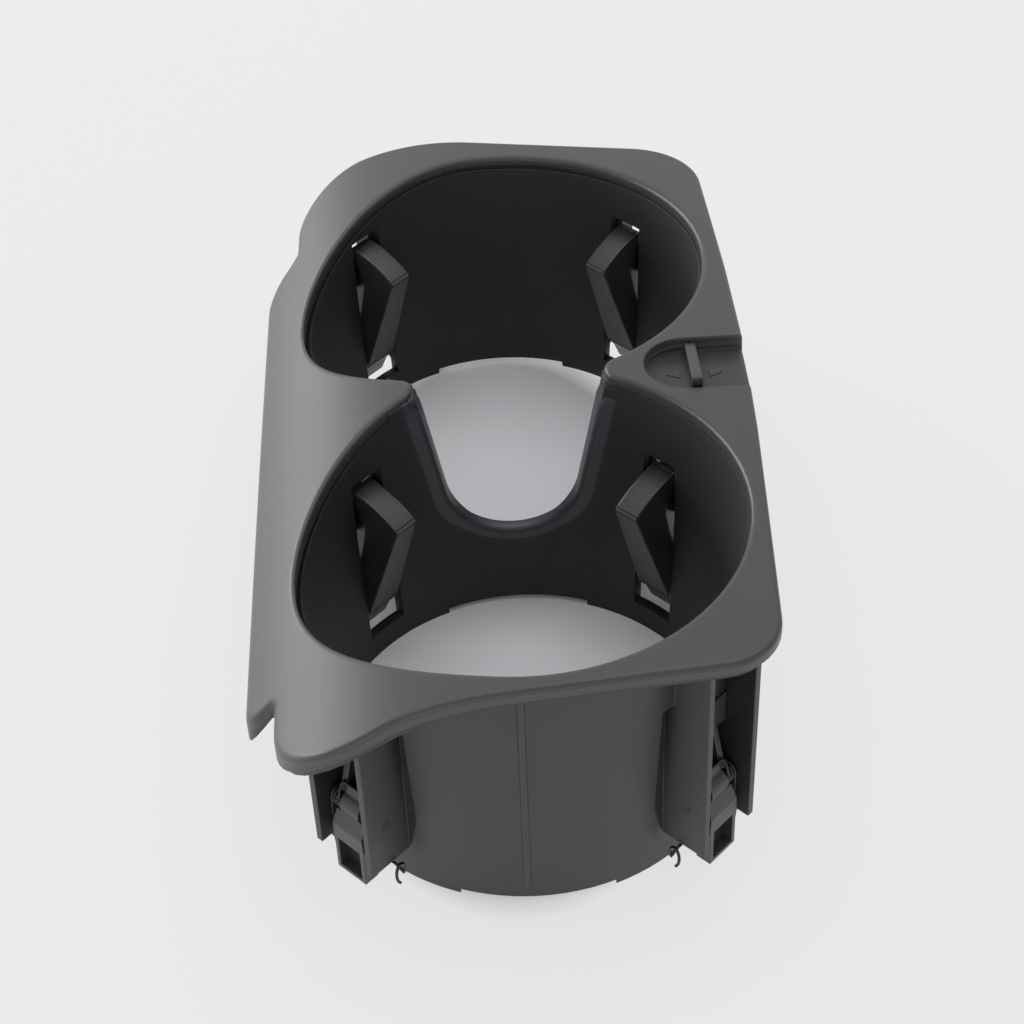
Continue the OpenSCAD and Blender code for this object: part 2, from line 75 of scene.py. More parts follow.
# The sizes below are measured from the front cup's axis, in millimetres.
FRONT_AXIS = cup_axis("front_cup")
ORIGIN = np.array([FRONT_AXIS[0], FRONT_AXIS[1], 0.0])
SPACING = float(cup_axis("rear_cup")[1] - FRONT_AXIS[1])
PIVOT_REACH = float(np.hypot(*(pivot("front_cup", 1) - FRONT_AXIS)[:2]))
PIVOT_H = float(pivot("front_cup", 1)[2])
# Growth of a cup's radius for each unit of height.
TAPER = 3.1 / 57.0
# Direction of a flap's rear corner from its pivot, in degrees.
BACK_ANGLE = 97.0


# Sizes and colours


def length(name, text, value, low=0.0, high=2000.0):
    return bpy.props.FloatProperty(name=name, description=text, default=value, min=low, max=high)


def colour(name, text, value):
    return bpy.props.FloatVectorProperty(
        name=name, description=text, default=value, size=3, subtype="COLOR", min=0.0, max=1.0)


class BezelSizes(bpy.types.PropertyGroup):
    top_h: length("Top", "Greatest height of the bezel, mm", 60.7)
    shell_t: length("Shell", "Thickness of the bezel, mm", 2.6)
    crown_r: length("Crown", "Radius of the long crown from front to rear, mm", 1900.0, 500.0)
    crest_y: length("Crest", "Distance of the crest in front of the front cup's axis, mm", 50.0)
    roll_r: length("Roll", "Radius of the roll along the left flank, mm", 51.5, 50.0)
    roll_start: length("Roll start", "Distance of the roll's start left of the axes, mm", 4.5)
    mouth_r: length("Mouth", "Radius of each mouth, mm", 40.30)
    neck_half: length("Neck", "Half width of the gap between the two necks, mm", 18.0)
    mouth_round: length("Mouth edge", "Rounding of the mouth's edge, mm", 1.1)
    rim_round: length("Outer edge", "Rounding of the outer edge, mm", 0.95)


class RecessSizes(bpy.types.PropertyGroup):
    end_x: length("Round end", "Centre of the round end, right of the axes, mm", 33.3)
    mid_y: length("Middle", "Middle of the recess behind the front axis, mm", 38.25)
    half_w: length("Half width", "Half the recess's width, mm", 7.9)
    depth: length("Depth", "Depth at the rear wall, mm", 3.0)
    floor_t: length("Floor", "Thickness of the recess's floor, mm", 1.3)
    fin_x: length("Fin", "Place of the catch's fin, right of the axes, mm", 34.8)
    fin_l: length("Fin length", "Length of the fin, mm", 13.8)
    fin_t: length("Fin thickness", "Thickness of the fin, mm", 1.9)
    fin_h: length("Fin height", "Height of the fin's top over the floor, mm", 2.05)


class NotchSizes(bpy.types.PropertyGroup):
    low: length("Low", "Height of the notch's lowest point, mm", 19.6)
    round_r: length("Round", "Radius of the notch's round bottom, mm", 13.5)
    lean: length("Lean", "Lean of the notch's sides, degrees", 10.5, 0.0, 45.0)
    web_t: length("Web", "Thickness of the web between the cups, mm", 2.4)
    foot_r: length("Cup foot", "Inner radius of a cup at its foot, mm", 37.0)
    taper: length("Taper", "Growth of a cup's radius for each mm of height", TAPER)
    top: length("Top", "Height at which its sides end, under the bezel, mm", 55.4)
    stand: length("Stand", "Stand of the rounded rim over the web, mm", 0.42)
    edge_round: length("Edge", "Rounding of the rim, mm", 1.4)
    leg: length("Leg", "Reach of the rim down the cups' insides, mm", 5.0)


class FlapSizes(bpy.types.PropertyGroup):
    tip_reach: length("Tip reach", "Distance of a flap's tip from the cup axis, mm", 29.0)
    tip_h: length("Tip height", "Height of a flap's tip, mm", 37.2)
    fall: length("Fall", "Fall of the top's radius from the tip to the back, mm", 1.25)
    tip_w: length("Tip width", "Width of a flap at its tip, mm", 4.9)
    heel_w: length("Heel width", "Width of a flap at its lower end, mm", 7.6)
    proud: length("Skin", "Stand of the outer skin over the core, mm", 0.15)
    edge_round: length("Edge", "Rounding of a flap's edges, mm", 0.35)
    ridges: bpy.props.IntProperty(
        name="Ridges", description="Fine ridges across a flap's top", default=13, min=3, max=40)


class SpringSizes(bpy.types.PropertyGroup):
    wire_d: length("Wire", "Thickness of the wire, mm", 0.6)
    coil_r: length("Coil", "Mean radius of a coil, mm", 1.95)
    turns: length("Turns", "Turns in one coil", 3.0)
    hub_w: length("Hub", "Width between the two coils, mm", 4.6)
    pocket_w: length("Pocket", "Distance over a pocket's plates, mm", 14.0)
    plate_foot: length("Plate foot", "Height of the plates' lower edge, mm", 9.0)
    bar_rise: length("Bar", "Rise of the bar across the flap over its pivot, mm", 5.2)


class FinishColours(bpy.types.PropertyGroup):
    bezel: colour("Bezel", "Soft-touch cover", (0.043, 0.041, 0.040))
    cup: colour("Cup moulding", "Moulded cups, plates and flange", (0.026, 0.0245, 0.029))
    flap: colour("Flaps", "Smooth dark moulding", (0.042, 0.042, 0.044))
    catch: colour("Catch", "Moulded catch", (0.040, 0.040, 0.041))
    wire: colour("Wire", "Black spring wire", (0.020, 0.020, 0.021))
    pin: colour("Pins", "Dark steel pins", (0.060, 0.060, 0.062))
    floor: colour("Floor", "Pale studio floor", (0.84, 0.84, 0.85))


SIZE_GROUPS = {
    "cup_bezel": BezelSizes,
    "cup_recess": RecessSizes,
    "cup_notch": NotchSizes,
    "cup_flap": FlapSizes,
    "cup_spring": SpringSizes,
    "cup_finish": FinishColours,
}


# Finishes


class Socket:
    """A node's output in a sum: the operators add the Math or Vector Math nodes."""

    def __init__(self, finish, link, vector=False):
        self.finish, self.link, self.vector = finish, link, vector

    def _math(self, operation, *values):
        kind = "ShaderNodeVectorMath" if self.vector else "ShaderNodeMath"
        node = self.finish.node(kind, {"operation": operation}, dict(enumerate(values)))
        return Socket(self.finish, node.outputs[0], self.vector)

    def __add__(self, other):
        return self._math("ADD", self, other)

    __radd__ = __add__

    def __sub__(self, other):
        return self._math("SUBTRACT", self, other)

    def __rsub__(self, other):
        return self._math("SUBTRACT", other, self)

    def __mul__(self, other):
        return self._math("MULTIPLY", self, other)

    __rmul__ = __mul__

    def least(self, other):
        return self._math("MINIMUM", self, other)

    def clamp(self):
        return self._math("MAXIMUM", self.least(1.0), 0.0)


class Finish:
    """One procedural material: its nodes come from node(), its sums from Socket."""

    def __init__(self, name, metal=0.0, sheen=0.0, coat=0.0, specular=0.5):
        self.material = bpy.data.materials.new(name)
        self.material.use_nodes = True
        self.tree = self.material.node_tree
        self.tree.nodes.clear()
        self.shader = self.node("ShaderNodeBsdfPrincipled", {}, {
            "Metallic": metal, "Sheen Weight": sheen, "Coat Weight": coat,
            "Specular IOR Level": specular})
        self.node("ShaderNodeOutputMaterial", {}, {"Surface": self.shader.outputs[0]})
        self.place = self.out(self.node("ShaderNodeTexCoord", {}, {}), "Object", True)

    def node(self, kind, settings, inputs):
        """A node of one kind: settings first, then the values or links of its sockets."""
        node = self.tree.nodes.new(kind)
        for key, value in settings.items():
            if key == "stops":
                ramp = node.color_ramp.elements
                while len(ramp) < len(value):
                    ramp.new(0.5)
                for stop, (place, shade) in zip(ramp, value):
                    stop.position = place
                    stop.color = (shade, shade, shade, 1.0)
            else:
                setattr(node, key, value)
        for key, value in inputs.items():
            self.feed(node, key, value)
        return node

    def feed(self, node, key, value):
        socket = node.inputs[key]
        if isinstance(value, Socket):
            self.tree.links.new(value.link, socket)
        elif isinstance(value, bpy.types.NodeSocket):
            self.tree.links.new(value, socket)
        else:
            socket.default_value = value

    def out(self, node, key=0, vector=False):
        return Socket(self, node.outputs[key], vector)

    def noise(self, scale, detail=3.0, rough=0.5, vector=None):
        """Cloudy values from 0 to 1; scale is in cells per metre."""
        node = self.node("ShaderNodeTexNoise", {}, {
            "Vector": vector or self.place, "Scale": scale, "Detail": detail,
            "Roughness": rough})
        return self.out(node)

    def grains(self, scale):
        """Distance to the nearest of many cells: the stipple of a spark-eroded mould."""
        node = self.node("ShaderNodeTexVoronoi", {"feature": "F1"}, {
            "Vector": self.place, "Scale": scale})
        return self.out(node)

    def spread(self, value, stops):
        return self.out(self.node("ShaderNodeValToRGB", {"stops": stops}, {0: value}))

    def tint(self, base, light, amount):
        """Base colour that goes towards light where amount is 1; base may be a socket."""
        node = self.node("ShaderNodeMix", {"data_type": "RGBA"}, {
            0: amount, 6: base if isinstance(base, Socket) else (*base, 1.0),
            7: (*light, 1.0)})
        return self.out(node, 2)

    def attribute(self, name):
        """A value that the piece stores at each of its points."""
        return self.out(self.node("ShaderNodeAttribute", {"attribute_name": name}, {}), 2)

    def surface(self, colour, rough, height, depth, edge=0.0):
        """Feeds the shader; edge is the radius to which the light rounds sharp edges."""
        self.feed(self.shader, "Base Color", colour)
        self.feed(self.shader, "Roughness", rough)
        bump = self.node("ShaderNodeBump", {}, {
            "Strength": 1.0, "Distance": depth, "Height": height})
        if edge:
            bevel = self.node("ShaderNodeBevel", {"samples": 6}, {"Radius": edge * MM})
            self.feed(bump, "Normal", bevel.outputs[0])
        self.feed(self.shader, "Normal", bump.outputs[0])
        return self.material


def shade(rgb, factor):
    return tuple(min(1.0, part * factor) for part in rgb)


def bezel_finish(rgb):
    """Soft-touch paint: fine grain, a slow mottle, a little more polish at the rims, and a
    duller floor in the finger recess, whose colour carries painted shade."""
    finish = Finish("bezel_soft_touch", sheen=0.05, specular=0.65)
    mottle = finish.noise(22.0, 4.0)
    fine = finish.noise(2600.0, 2.0, 0.6)
    worn, sunk = finish.attribute("edge"), finish.attribute("sunk")
    colour = finish.tint(shade(rgb, 0.92), shade(rgb, 1.12), mottle * 0.6 + fine * 0.4)
    # Painted shade: the recess floor darkened; sunk also makes it duller
    colour = finish.tint(colour, shade(rgb, 0.3), sunk * 0.7)
    rough = (mottle * 0.08 + fine * 0.10 + 0.40 - worn * 0.07 + sunk * 0.12).clamp()
    height = fine + finish.grains(1900.0) * 0.7
    return finish.surface(colour, rough, height, 0.000018)


def cup_finish(rgb):
    """Moulded plastic: fine stipple, flow marks down the wall, sharp edges rounded. Inside
    the cups the colour carries painted shade and the surface is duller, apart from the
    notch's rim, which carries a painted highlight. A place counts as inside where its
    distance from the nearer cup's axis, less the taper, is below wall_mid."""
    wall_mid, sharp = 0.0382, 4000.0
    finish = Finish("cup_moulding", specular=0.6)
    taper = finish.node("ShaderNodeSeparateXYZ", {}, {0: finish.place})
    taper = finish.out(taper, "Z") * TAPER
    reach = [finish.out(finish.node("ShaderNodeVectorMath", {"operation": "LENGTH"}, {
        0: (finish.place - axis) * (1.0, 1.0, 0.0)}), 1)
        for axis in (tuple(ORIGIN * MM), tuple((ORIGIN + (0.0, SPACING, 0.0)) * MM))]
    rim = finish.attribute("edge")
    # inside masks the cups' inner walls: painted shade darkens their colour there, and the roughness
    # rises
    inside = ((wall_mid - reach[0].least(reach[1]) + taper) * sharp).clamp() * (1.0 - rim)
    long = finish.out(finish.node("ShaderNodeMapping", {"vector_type": "TEXTURE"}, {
        "Vector": finish.place, "Scale": (1.0, 1.0, 9.0)}), 0, True)
    flow = finish.noise(70.0, 3.0, 0.55, long)
    fine = finish.noise(3000.0, 2.0, 0.6)
    colour = finish.tint(shade(rgb, 0.90), shade(rgb, 1.15), flow * 0.6 + fine * 0.4)
    # Painted shade: the cups' inner walls darkened
    colour = finish.tint(colour, shade(rgb, 0.25), inside * 0.6)
    # Painted highlight: the notch's rim lightened
    colour = finish.tint(colour, shade(rgb, 2.2), rim * 0.8)
    rough = (flow * 0.10 + fine * 0.12 + 0.30 + inside * 0.20).clamp()
    return finish.surface(colour, rough, fine + flow * 0.5, 0.000012, 0.35)


def flap_finish(rgb):
    """Smooth dark moulding with faint scuffs."""
    finish = Finish("flap_moulding", specular=0.7)
    cloud = finish.noise(160.0, 4.0)
    fine = finish.noise(3600.0, 2.0, 0.6)
    scuffs = finish.spread(finish.noise(420.0, 5.0, 0.7), [(0.58, 0.0), (0.72, 1.0)])
    colour = finish.tint(shade(rgb, 0.9), shade(rgb, 1.4), (cloud * 0.4 + scuffs * 0.5).clamp())
    rough = (cloud * 0.12 + scuffs * 0.10 + 0.33).clamp()
    return finish.surface(colour, rough, fine, 0.000010, 0.25)


def catch_finish(rgb):
    finish = Finish("catch_moulding", specular=0.5)
    cloud = finish.noise(260.0, 3.0)
    fine = finish.noise(3000.0, 2.0, 0.6)
    colour = finish.tint(shade(rgb, 0.9), shade(rgb, 1.3), cloud)
    rough = (cloud * 0.10 + fine * 0.10 + 0.34).clamp()
    return finish.surface(colour, rough, fine, 0.000012, 0.2)


def wire_finish(rgb):
    """Black oiled steel: bright where the light runs along it, thin in places."""
    finish = Finish("spring_black_wire", metal=0.55, coat=0.15, specular=0.6)
    cloud = finish.noise(900.0, 3.0)
    worn = finish.spread(finish.noise(1500.0, 4.0, 0.65), [(0.60, 0.0), (0.74, 1.0)])
    colour = finish.tint(shade(rgb, 1.0), shade(rgb, 5.0), worn)
    rough = (cloud * 0.16 + 0.20 + worn * 0.10).clamp()
    return finish.surface(colour, rough, cloud, 0.000006)


def pin_finish(rgb):
    """Drawn steel, blackened: fine rings of the drawing die."""
    finish = Finish("pin_dark_steel", metal=0.9, specular=0.5)
    cloud = finish.noise(1200.0, 3.0)
    colour = finish.tint(shade(rgb, 0.8), shade(rgb, 1.6), cloud)
    rough = (cloud * 0.16 + 0.26).clamp()
    return finish.surface(colour, rough, cloud, 0.000005, 0.1)


def floor_finish(rgb):
    """Pale paint that shows a little brighter than it is lit, and less so below the cups."""
    finish = Finish("studio_floor_paint", specular=0.2)
    finish.feed(finish.shader, "Roughness", 0.6)
    colour = finish.tint(shade(rgb, 0.99), shade(rgb, 1.0), finish.noise(3.0))
    finish.feed(finish.shader, "Base Color", colour)
    glow = finish.node("ShaderNodeEmission", {}, {"Color": (*rgb, 1.0), "Strength": 1.0})
    path = finish.node("ShaderNodeLightPath", {}, {})
    seen = (finish.out(path, "Is Camera Ray") + finish.out(path, "Is Glossy Ray")).clamp()
    oval = finish.out(finish.node("ShaderNodeMapping", {"vector_type": "TEXTURE"}, {
        "Vector": finish.place, "Scale": (0.042, 0.080, 1.0)}), 0, True)
    reach = finish.out(finish.node("ShaderNodeVectorMath", {"operation": "LENGTH"}, {
        0: oval}), 1)
    lift = finish.spread(reach * 0.5, [(0.45, 0.06), (0.53, 0.85)])
    mix = finish.node("ShaderNodeMixShader", {}, {
        0: seen * lift, 1: finish.shader.outputs[0], 2: glow.outputs[0]})
    output = next(node for node in finish.tree.nodes if node.type == "OUTPUT_MATERIAL")
    finish.feed(output, "Surface", mix.outputs[0])
    return finish.material


# Shapes


def smooth_step(value):
    """3t² - 2t³ between 0 and 1."""
    t = np.clip(value, 0.0, 1.0)
    return t * t * (3.0 - 2.0 * t)


def arc(centre, radius, start, stop, count):
    """Points of a circle's arc, and their directions from the centre; angles in degrees."""
    angle = np.radians(np.linspace(start, stop, count))
    way = np.stack([np.cos(angle), np.sin(angle)], axis=1)
    return np.asarray(centre) + radius * way, way


def toward(angle):
    """Unit direction at an angle in degrees."""
    return np.array([math.cos(math.radians(angle)), math.sin(math.radians(angle))])


def fillet(before, corner, after, radius, count=0):
    """The arc that rounds a corner, and its outward directions. Its centre lies on the
    corner's bisector at radius / sin(half the corner's angle). At a hollow corner it turns
    the other way. Without a count it has a point about each 4 degrees."""
    u, v = before - corner, after - corner
    u, v = u / np.linalg.norm(u), v / np.linalg.norm(v)
    half = math.acos(float(u @ v)) / 2.0
    turn = 1.0 if u[0] * v[1] - u[1] * v[0] < 0 else -1.0
    centre = corner + (u + v) / np.linalg.norm(u + v) * radius / math.sin(half)
    start = math.degrees(math.atan2(turn * u[0], -turn * u[1]))
    sweep = 180.0 - 2.0 * math.degrees(half)
    points, way = arc(centre, radius, start, start + turn * sweep,
                      count or max(3, int(sweep / 4.0) + 2))
    return points, way * turn


def run_length(points):
    """Distance along a line of points, from 0 at the first."""
    steps = np.linalg.norm(np.diff(points, axis=0), axis=1)
    return np.concatenate([[0.0], np.cumsum(steps)])


def at_lengths(points, lengths, wanted):
    """Points, or any values along a line, at the wanted distances."""
    return np.stack([np.interp(wanted, lengths, points[:, k])
                     for k in range(points.shape[1])], axis=1)


def nearest(points, lengths, place):
    """Distance along a line of points to the spot on it that lies nearest to a place."""
    wanted = np.linspace(0.0, lengths[-1], 8001)
    some = at_lengths(points, lengths, wanted)
    return wanted[np.argmin(np.linalg.norm(some - np.array(place), axis=1))]


def grid_faces(rows, columns, close_columns=False, start=0):
    """Quads between the points of a grid that is stored row by row."""
    i = np.arange(rows - 1)
    j = np.arange(columns if close_columns else columns - 1)
    i, j = np.meshgrid(i, j, indexing="ij")
    i, j = i.ravel(), j.ravel()
    down, right = i + 1, (j + 1) % columns
    return start + np.stack([i * columns + j, down * columns + j,
                             down * columns + right, i * columns + right], axis=1)


def outward(points, faces):
    """Turns the faces round if the closed shape that they bound has a negative volume."""
    volume = 0.0
    for face in faces:
        for k in range(1, face.shape[1] - 1):
            a, b, c = (points[face[:, n]] for n in (0, k, k + 1))
            volume += float(np.sum(a * np.cross(b, c)))
    return [face[:, ::-1] for face in faces] if volume < 0 else faces


def add(name, data):
    """A new object in the scene."""
    thing = bpy.data.objects.new(name, data)
    bpy.context.scene.collection.objects.link(thing)
    return thing


def make_piece(name, points, faces, material, body):
    """A closed mesh from points in millimetres round the front axis and arrays of faces."""
    faces = outward(points, faces)
    mesh = bpy.data.meshes.new(name)
    place = ((points + ORIGIN) * MM).astype(np.float32)
    loops = np.concatenate([face.ravel() for face in faces]).astype(np.int32)
    sizes = np.concatenate([np.full(len(face), face.shape[1]) for face in faces])
    starts = np.concatenate([[0], np.cumsum(sizes)[:-1]]).astype(np.int32)
    mesh.vertices.add(len(place))
    mesh.vertices.foreach_set("co", place.ravel())
    mesh.loops.add(len(loops))
    mesh.loops.foreach_set("vertex_index", loops)
    mesh.polygons.add(len(starts))
    mesh.polygons.foreach_set("loop_start", starts)
    mesh.polygons.foreach_set("use_smooth", np.ones(len(starts), bool))
    mesh.update(calc_edges=True)
    if mesh.validate():
        raise RuntimeError(f"{name}: the mesh needed repair")
    mesh.materials.append(material)
    piece = add(name, mesh)
    if body:
        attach(piece, body)
    return piece


def spread_value(piece, name, values):
    """Stores one number per point, for a material to read."""
    layer = piece.data.attributes.new(name, "FLOAT", "POINT")
    layer.data.foreach_set("value", values.astype(np.float32).ravel())


def pad(name, rings, material, body, place):
    """A closed solid from rings of equal count, each a level of its outline, with a centre
    point to close the first and the last ring; place maps its points into the model."""
    rings = np.asarray(rings)
    count = rings.shape[1]
    foot, crown = rings[0].mean(axis=0), rings[-1].mean(axis=0)
    points = np.concatenate([rings.reshape(-1, 3), [foot], [crown]])
    last = len(rings) * count
    k = np.arange(count)
    after = (k + 1) % count
    top = last - count
    faces = [grid_faces(len(rings), count, close_columns=True),
             np.stack([k, after, np.full(count, last)], axis=1),
             np.stack([top + after, top + k, np.full(count, last + 1)], axis=1)]
    return make_piece(name, place(points), faces, material, body)


def tube(name, path, radius, sides, material, body, place):
    """A round wire: each ring stands square to the path. Its first direction is Y, turned
    towards X where the path itself runs along Y, less its share along the path."""
    way = np.gradient(path, axis=0)
    way /= np.linalg.norm(way, axis=1)[:, None]
    lean = way[:, 1:2] ** 2
    guide = (1.0 - lean) * np.array([[0.0, 1.0, 0.0]]) + lean * np.array([[1.0, 0.0, 0.0]])
    first = guide - np.sum(guide * way, axis=1)[:, None] * way
    first /= np.linalg.norm(first, axis=1)[:, None]
    second = np.cross(way, first)
    turn = np.linspace(0.0, 2.0 * np.pi, sides, endpoint=False)[None, :, None]
    rings = path[:, None] + radius * (np.cos(turn) * first[:, None]
                                      + np.sin(turn) * second[:, None])
    return pad(name, rings, material, body, place)


def through(points, per_step):
    """A smooth line through the points: on each step the cubic whose slopes at its two ends
    are half the way from the point before to the point after."""
    p = np.concatenate([[2 * points[0] - points[1]], points, [2 * points[-1] - points[-2]]])
    t = np.linspace(0.0, 1.0, per_step, endpoint=False)[None, :, None]
    a, b, c, d = (p[k:len(p) - 3 + k][:, None] for k in range(4))
    line = 0.5 * (2 * b + (c - a) * t + (2 * a - 5 * b + 4 * c - d) * t ** 2
                  + (3 * b - a - 3 * c + d) * t ** 3)
    return np.concatenate([line.reshape(-1, 3), points[-1:]])


def flap_frame(cup, number):
    """Maps radius, width and height at a flap into the model's millimetres."""
    centre = pivot(cup, number)[:2] - cup_axis(cup)[:2]
    way = centre / np.linalg.norm(centre)
    offset = cup_axis(cup)[1] - FRONT_AXIS[1]

    def place(points):
        out = np.empty_like(points)
        out[:, 0] = points[:, 0] * way[0] - points[:, 1] * way[1]
        out[:, 1] = points[:, 0] * way[1] + points[:, 1] * way[0] + offset
        out[:, 2] = points[:, 2]
        return out

    return place


# Bezel

# Corners of the bezel's outline with their fillets, anticlockwise from the front lobe.
CORNERS = np.array([
    [-43.5, -52.5, 14.0], [-23.0, -46.2, 24.0], [41.5, -40.0, 11.0], [45.5, 44.25, 600.0],
    [42.7, 115.7, 16.0], [-42.6, 132.2, 13.0], [-42.6, 107.5, 3.0], [-49.6, 105.0, 6.0],
    [-49.6, -25.5, 4.5], [-43.5, -25.5, 0.8]])


def outline():
    """The closed outline and its outward directions, with a fillet at each corner."""
    parts = [fillet(CORNERS[k - 1][:2], corner[:2], CORNERS[(k + 1) % len(CORNERS)][:2],
                    corner[2]) for k, corner in enumerate(CORNERS)]
    points, ways = (np.concatenate(some) for some in zip(*parts))
    return np.concatenate([points, points[:1]]), np.concatenate([ways, ways[:1]])


def mouth(sizes):
    """The opening: two round mouths whose arcs pass into the necks' round tips, each tangent
    to both. Also the directions into the bezel and the angle stations of the arcs."""
    half = SPACING / 2.0
    r, gap = sizes.mouth_r, sizes.neck_half
    tip_r = (gap ** 2 + half ** 2 - r ** 2) / (2.0 * (r - gap))
    touch = math.degrees(math.atan2(half, gap + tip_r))
    front, rear = (0.0, 0.0), (0.0, SPACING)
    right, left = (gap + tip_r, half), (-gap - tip_r, half)
    parts = [
        (front, r, -90.0, touch, 1), (right, tip_r, touch + 180.0, 180.0 - touch, -1),
        (rear, r, -touch, 180.0 + touch, 1), (left, tip_r, touch, -touch, -1),
        (front, r, 180.0 - touch, 270.0, 1)]
    points, ways = [], []
    for centre, radius, start, stop, side in parts:
        count = max(24, int(abs(stop - start) * radius / 20.0))
        some, way = arc(centre, radius, start, stop, count)
        points.append(some)
        ways.append(way * side)
    return np.concatenate(points), np.concatenate(ways)


def bezel_height(sizes, x, y, drop):
    """The top, lowered by drop: a flat line across the car that rolls down on the left with
    roll_r, carried round the long crown's far centre."""
    side = np.clip(-(x + sizes.roll_start), 0.0, sizes.roll_r - drop - 0.01)
    reach = sizes.crown_r - sizes.roll_r + np.sqrt((sizes.roll_r - drop) ** 2 - side ** 2)
    return sizes.top_h - sizes.crown_r + np.sqrt(reach ** 2 - (y + sizes.crest_y) ** 2)


def recess_floor(bezel, recess, y):
    """Height of the recess's floor: it falls evenly towards its rear wall."""
    rear = recess.mid_y + recess.half_w
    low = bezel_height(bezel, np.array(0.0), np.array(rear), 0.0) - recess.depth
    return low + (rear - y) * recess.depth / (2.0 * recess.half_w)


def recess_distance(recess, x, y):
    """Distance outside the recess's outline: a slot with one round end, open to the right."""
    along = np.minimum(x - recess.end_x, 0.0)
    return np.hypot(along, y - recess.mid_y) - recess.half_w


def recess_drop(bezel, recess, x, y):
    """How far the top is sunk: to the floor inside the outline, in two steps with a ledge."""
    deep = bezel_height(bezel, x, y, 0.0) - recess_floor(bezel, recess, y)
    inside = -recess_distance(recess, x, y)
    ledge, ledge_in = 0.62, 0.35
    wall = ledge * smooth_step(inside / 0.3) + (1.0 - ledge) * smooth_step(
        (inside - ledge_in) / 0.25)
    return np.where(x > 0.0, np.maximum(deep, 0.0) * wall, 0.0)


def stations(sizes):
    """Pairs of places that the bezel's cross lines join: a distance along the mouth and one
    along the outline. Between the pairs both run evenly."""
    edge, ways = outline()
    edge_length = run_length(edge)
    rim, _ = mouth(sizes)
    rim_length = run_length(rim)
    half = SPACING / 2.0
    r, gap = sizes.mouth_r, sizes.neck_half

    def on_cup(y, angle):
        a = math.radians(angle)
        return (r * math.cos(a), y + r * math.sin(a))

    pairs = [
        (on_cup(0, -90), (0.0, -44.0)), (on_cup(0, -42), (39.0, -37.6)),
        (on_cup(0, 0), (43.4, 0.0)), ((gap, half), (44.7, half)),
        (on_cup(SPACING, 0), (44.2, SPACING)), (on_cup(SPACING, 46), (39.3, 112.8)),
        (on_cup(SPACING, 90), (0.0, 124.0)), (on_cup(SPACING, 130), (-37.9, 126.5)),
        (on_cup(SPACING, 146), (-43.4, 107.1)), (on_cup(SPACING, 152), (-49.0, 103.5)),
        (on_cup(SPACING, 180), (-49.6, SPACING)), ((-gap, half), (-49.6, half)),
        (on_cup(0, 180), (-49.6, 0.0)), (on_cup(0, 205), (-48.3, -24.2)),
        (on_cup(0, 210.5), (-43.5, -26.3)), (on_cup(0, 232), (-37.8, -44.8))]
    rim_at = [nearest(rim, rim_length, on_rim) for on_rim, _ in pairs]
    edge_at = [nearest(edge, edge_length, on_edge) for _, on_edge in pairs]
    return np.array(rim_at), np.array(edge_at), rim_length[-1], edge_length[-1]


def bezel_lines(sizes, along):
    """Ends of the cross lines at distances along the mouth: mouth points and directions,
    outline points and directions."""
    rim, rim_way = mouth(sizes)
    edge, edge_way = outline()
    rim_at, edge_at, rim_all, edge_all = stations(sizes)
    # The outline starts at the front lobe and the mouth in front of the cup: unwind the first.
    edge_at = np.unwrap(edge_at * 2 * np.pi / edge_all) * edge_all / (2 * np.pi)
    rim_at = np.append(rim_at, rim_all + rim_at[0])
    edge_at = np.append(edge_at, edge_all + edge_at[0])
    on_edge = np.interp(along, rim_at, edge_at) % edge_all
    rim_length, edge_length = run_length(rim), run_length(edge)
    keep = np.concatenate([[True], np.diff(rim_length) > 1e-9])
    a = at_lengths(rim[keep], rim_length[keep], along)
    a_way = at_lengths(rim_way[keep], rim_length[keep], along)
    b = at_lengths(edge, edge_length, on_edge)
    b_way = at_lengths(edge_way, edge_length, on_edge)
    a_way /= np.linalg.norm(a_way, axis=1)[:, None]
    b_way /= np.linalg.norm(b_way, axis=1)[:, None]
    return a, a_way, b, b_way


def swing_room(x, y, low, top):
    """The underside, lifted where a flap's top swings: over the circle that the top sweeps
    round its pivot, but not closer to the bezel's top than the least thickness."""
    swept_r, reach, half_w, least = 22.7, 11.0, 4.5, 0.8
    for cup, number in FLAPS:
        centre = (pivot(cup, number) - ORIGIN)[:2]
        way = (pivot(cup, number) - cup_axis(cup))[:2] / PIVOT_REACH
        out = (x - centre[0]) * way[0] + (y - centre[1]) * way[1]
        across = (y - centre[1]) * way[0] - (x - centre[0]) * way[1]
        room = PIVOT_H + np.sqrt(np.maximum(swept_r ** 2 - out ** 2, 0.0))
        near = (np.abs(out) < reach) & (np.abs(across) < half_w)
        low = np.where(near, np.maximum(low, np.minimum(room, top - least)), low)
    return low


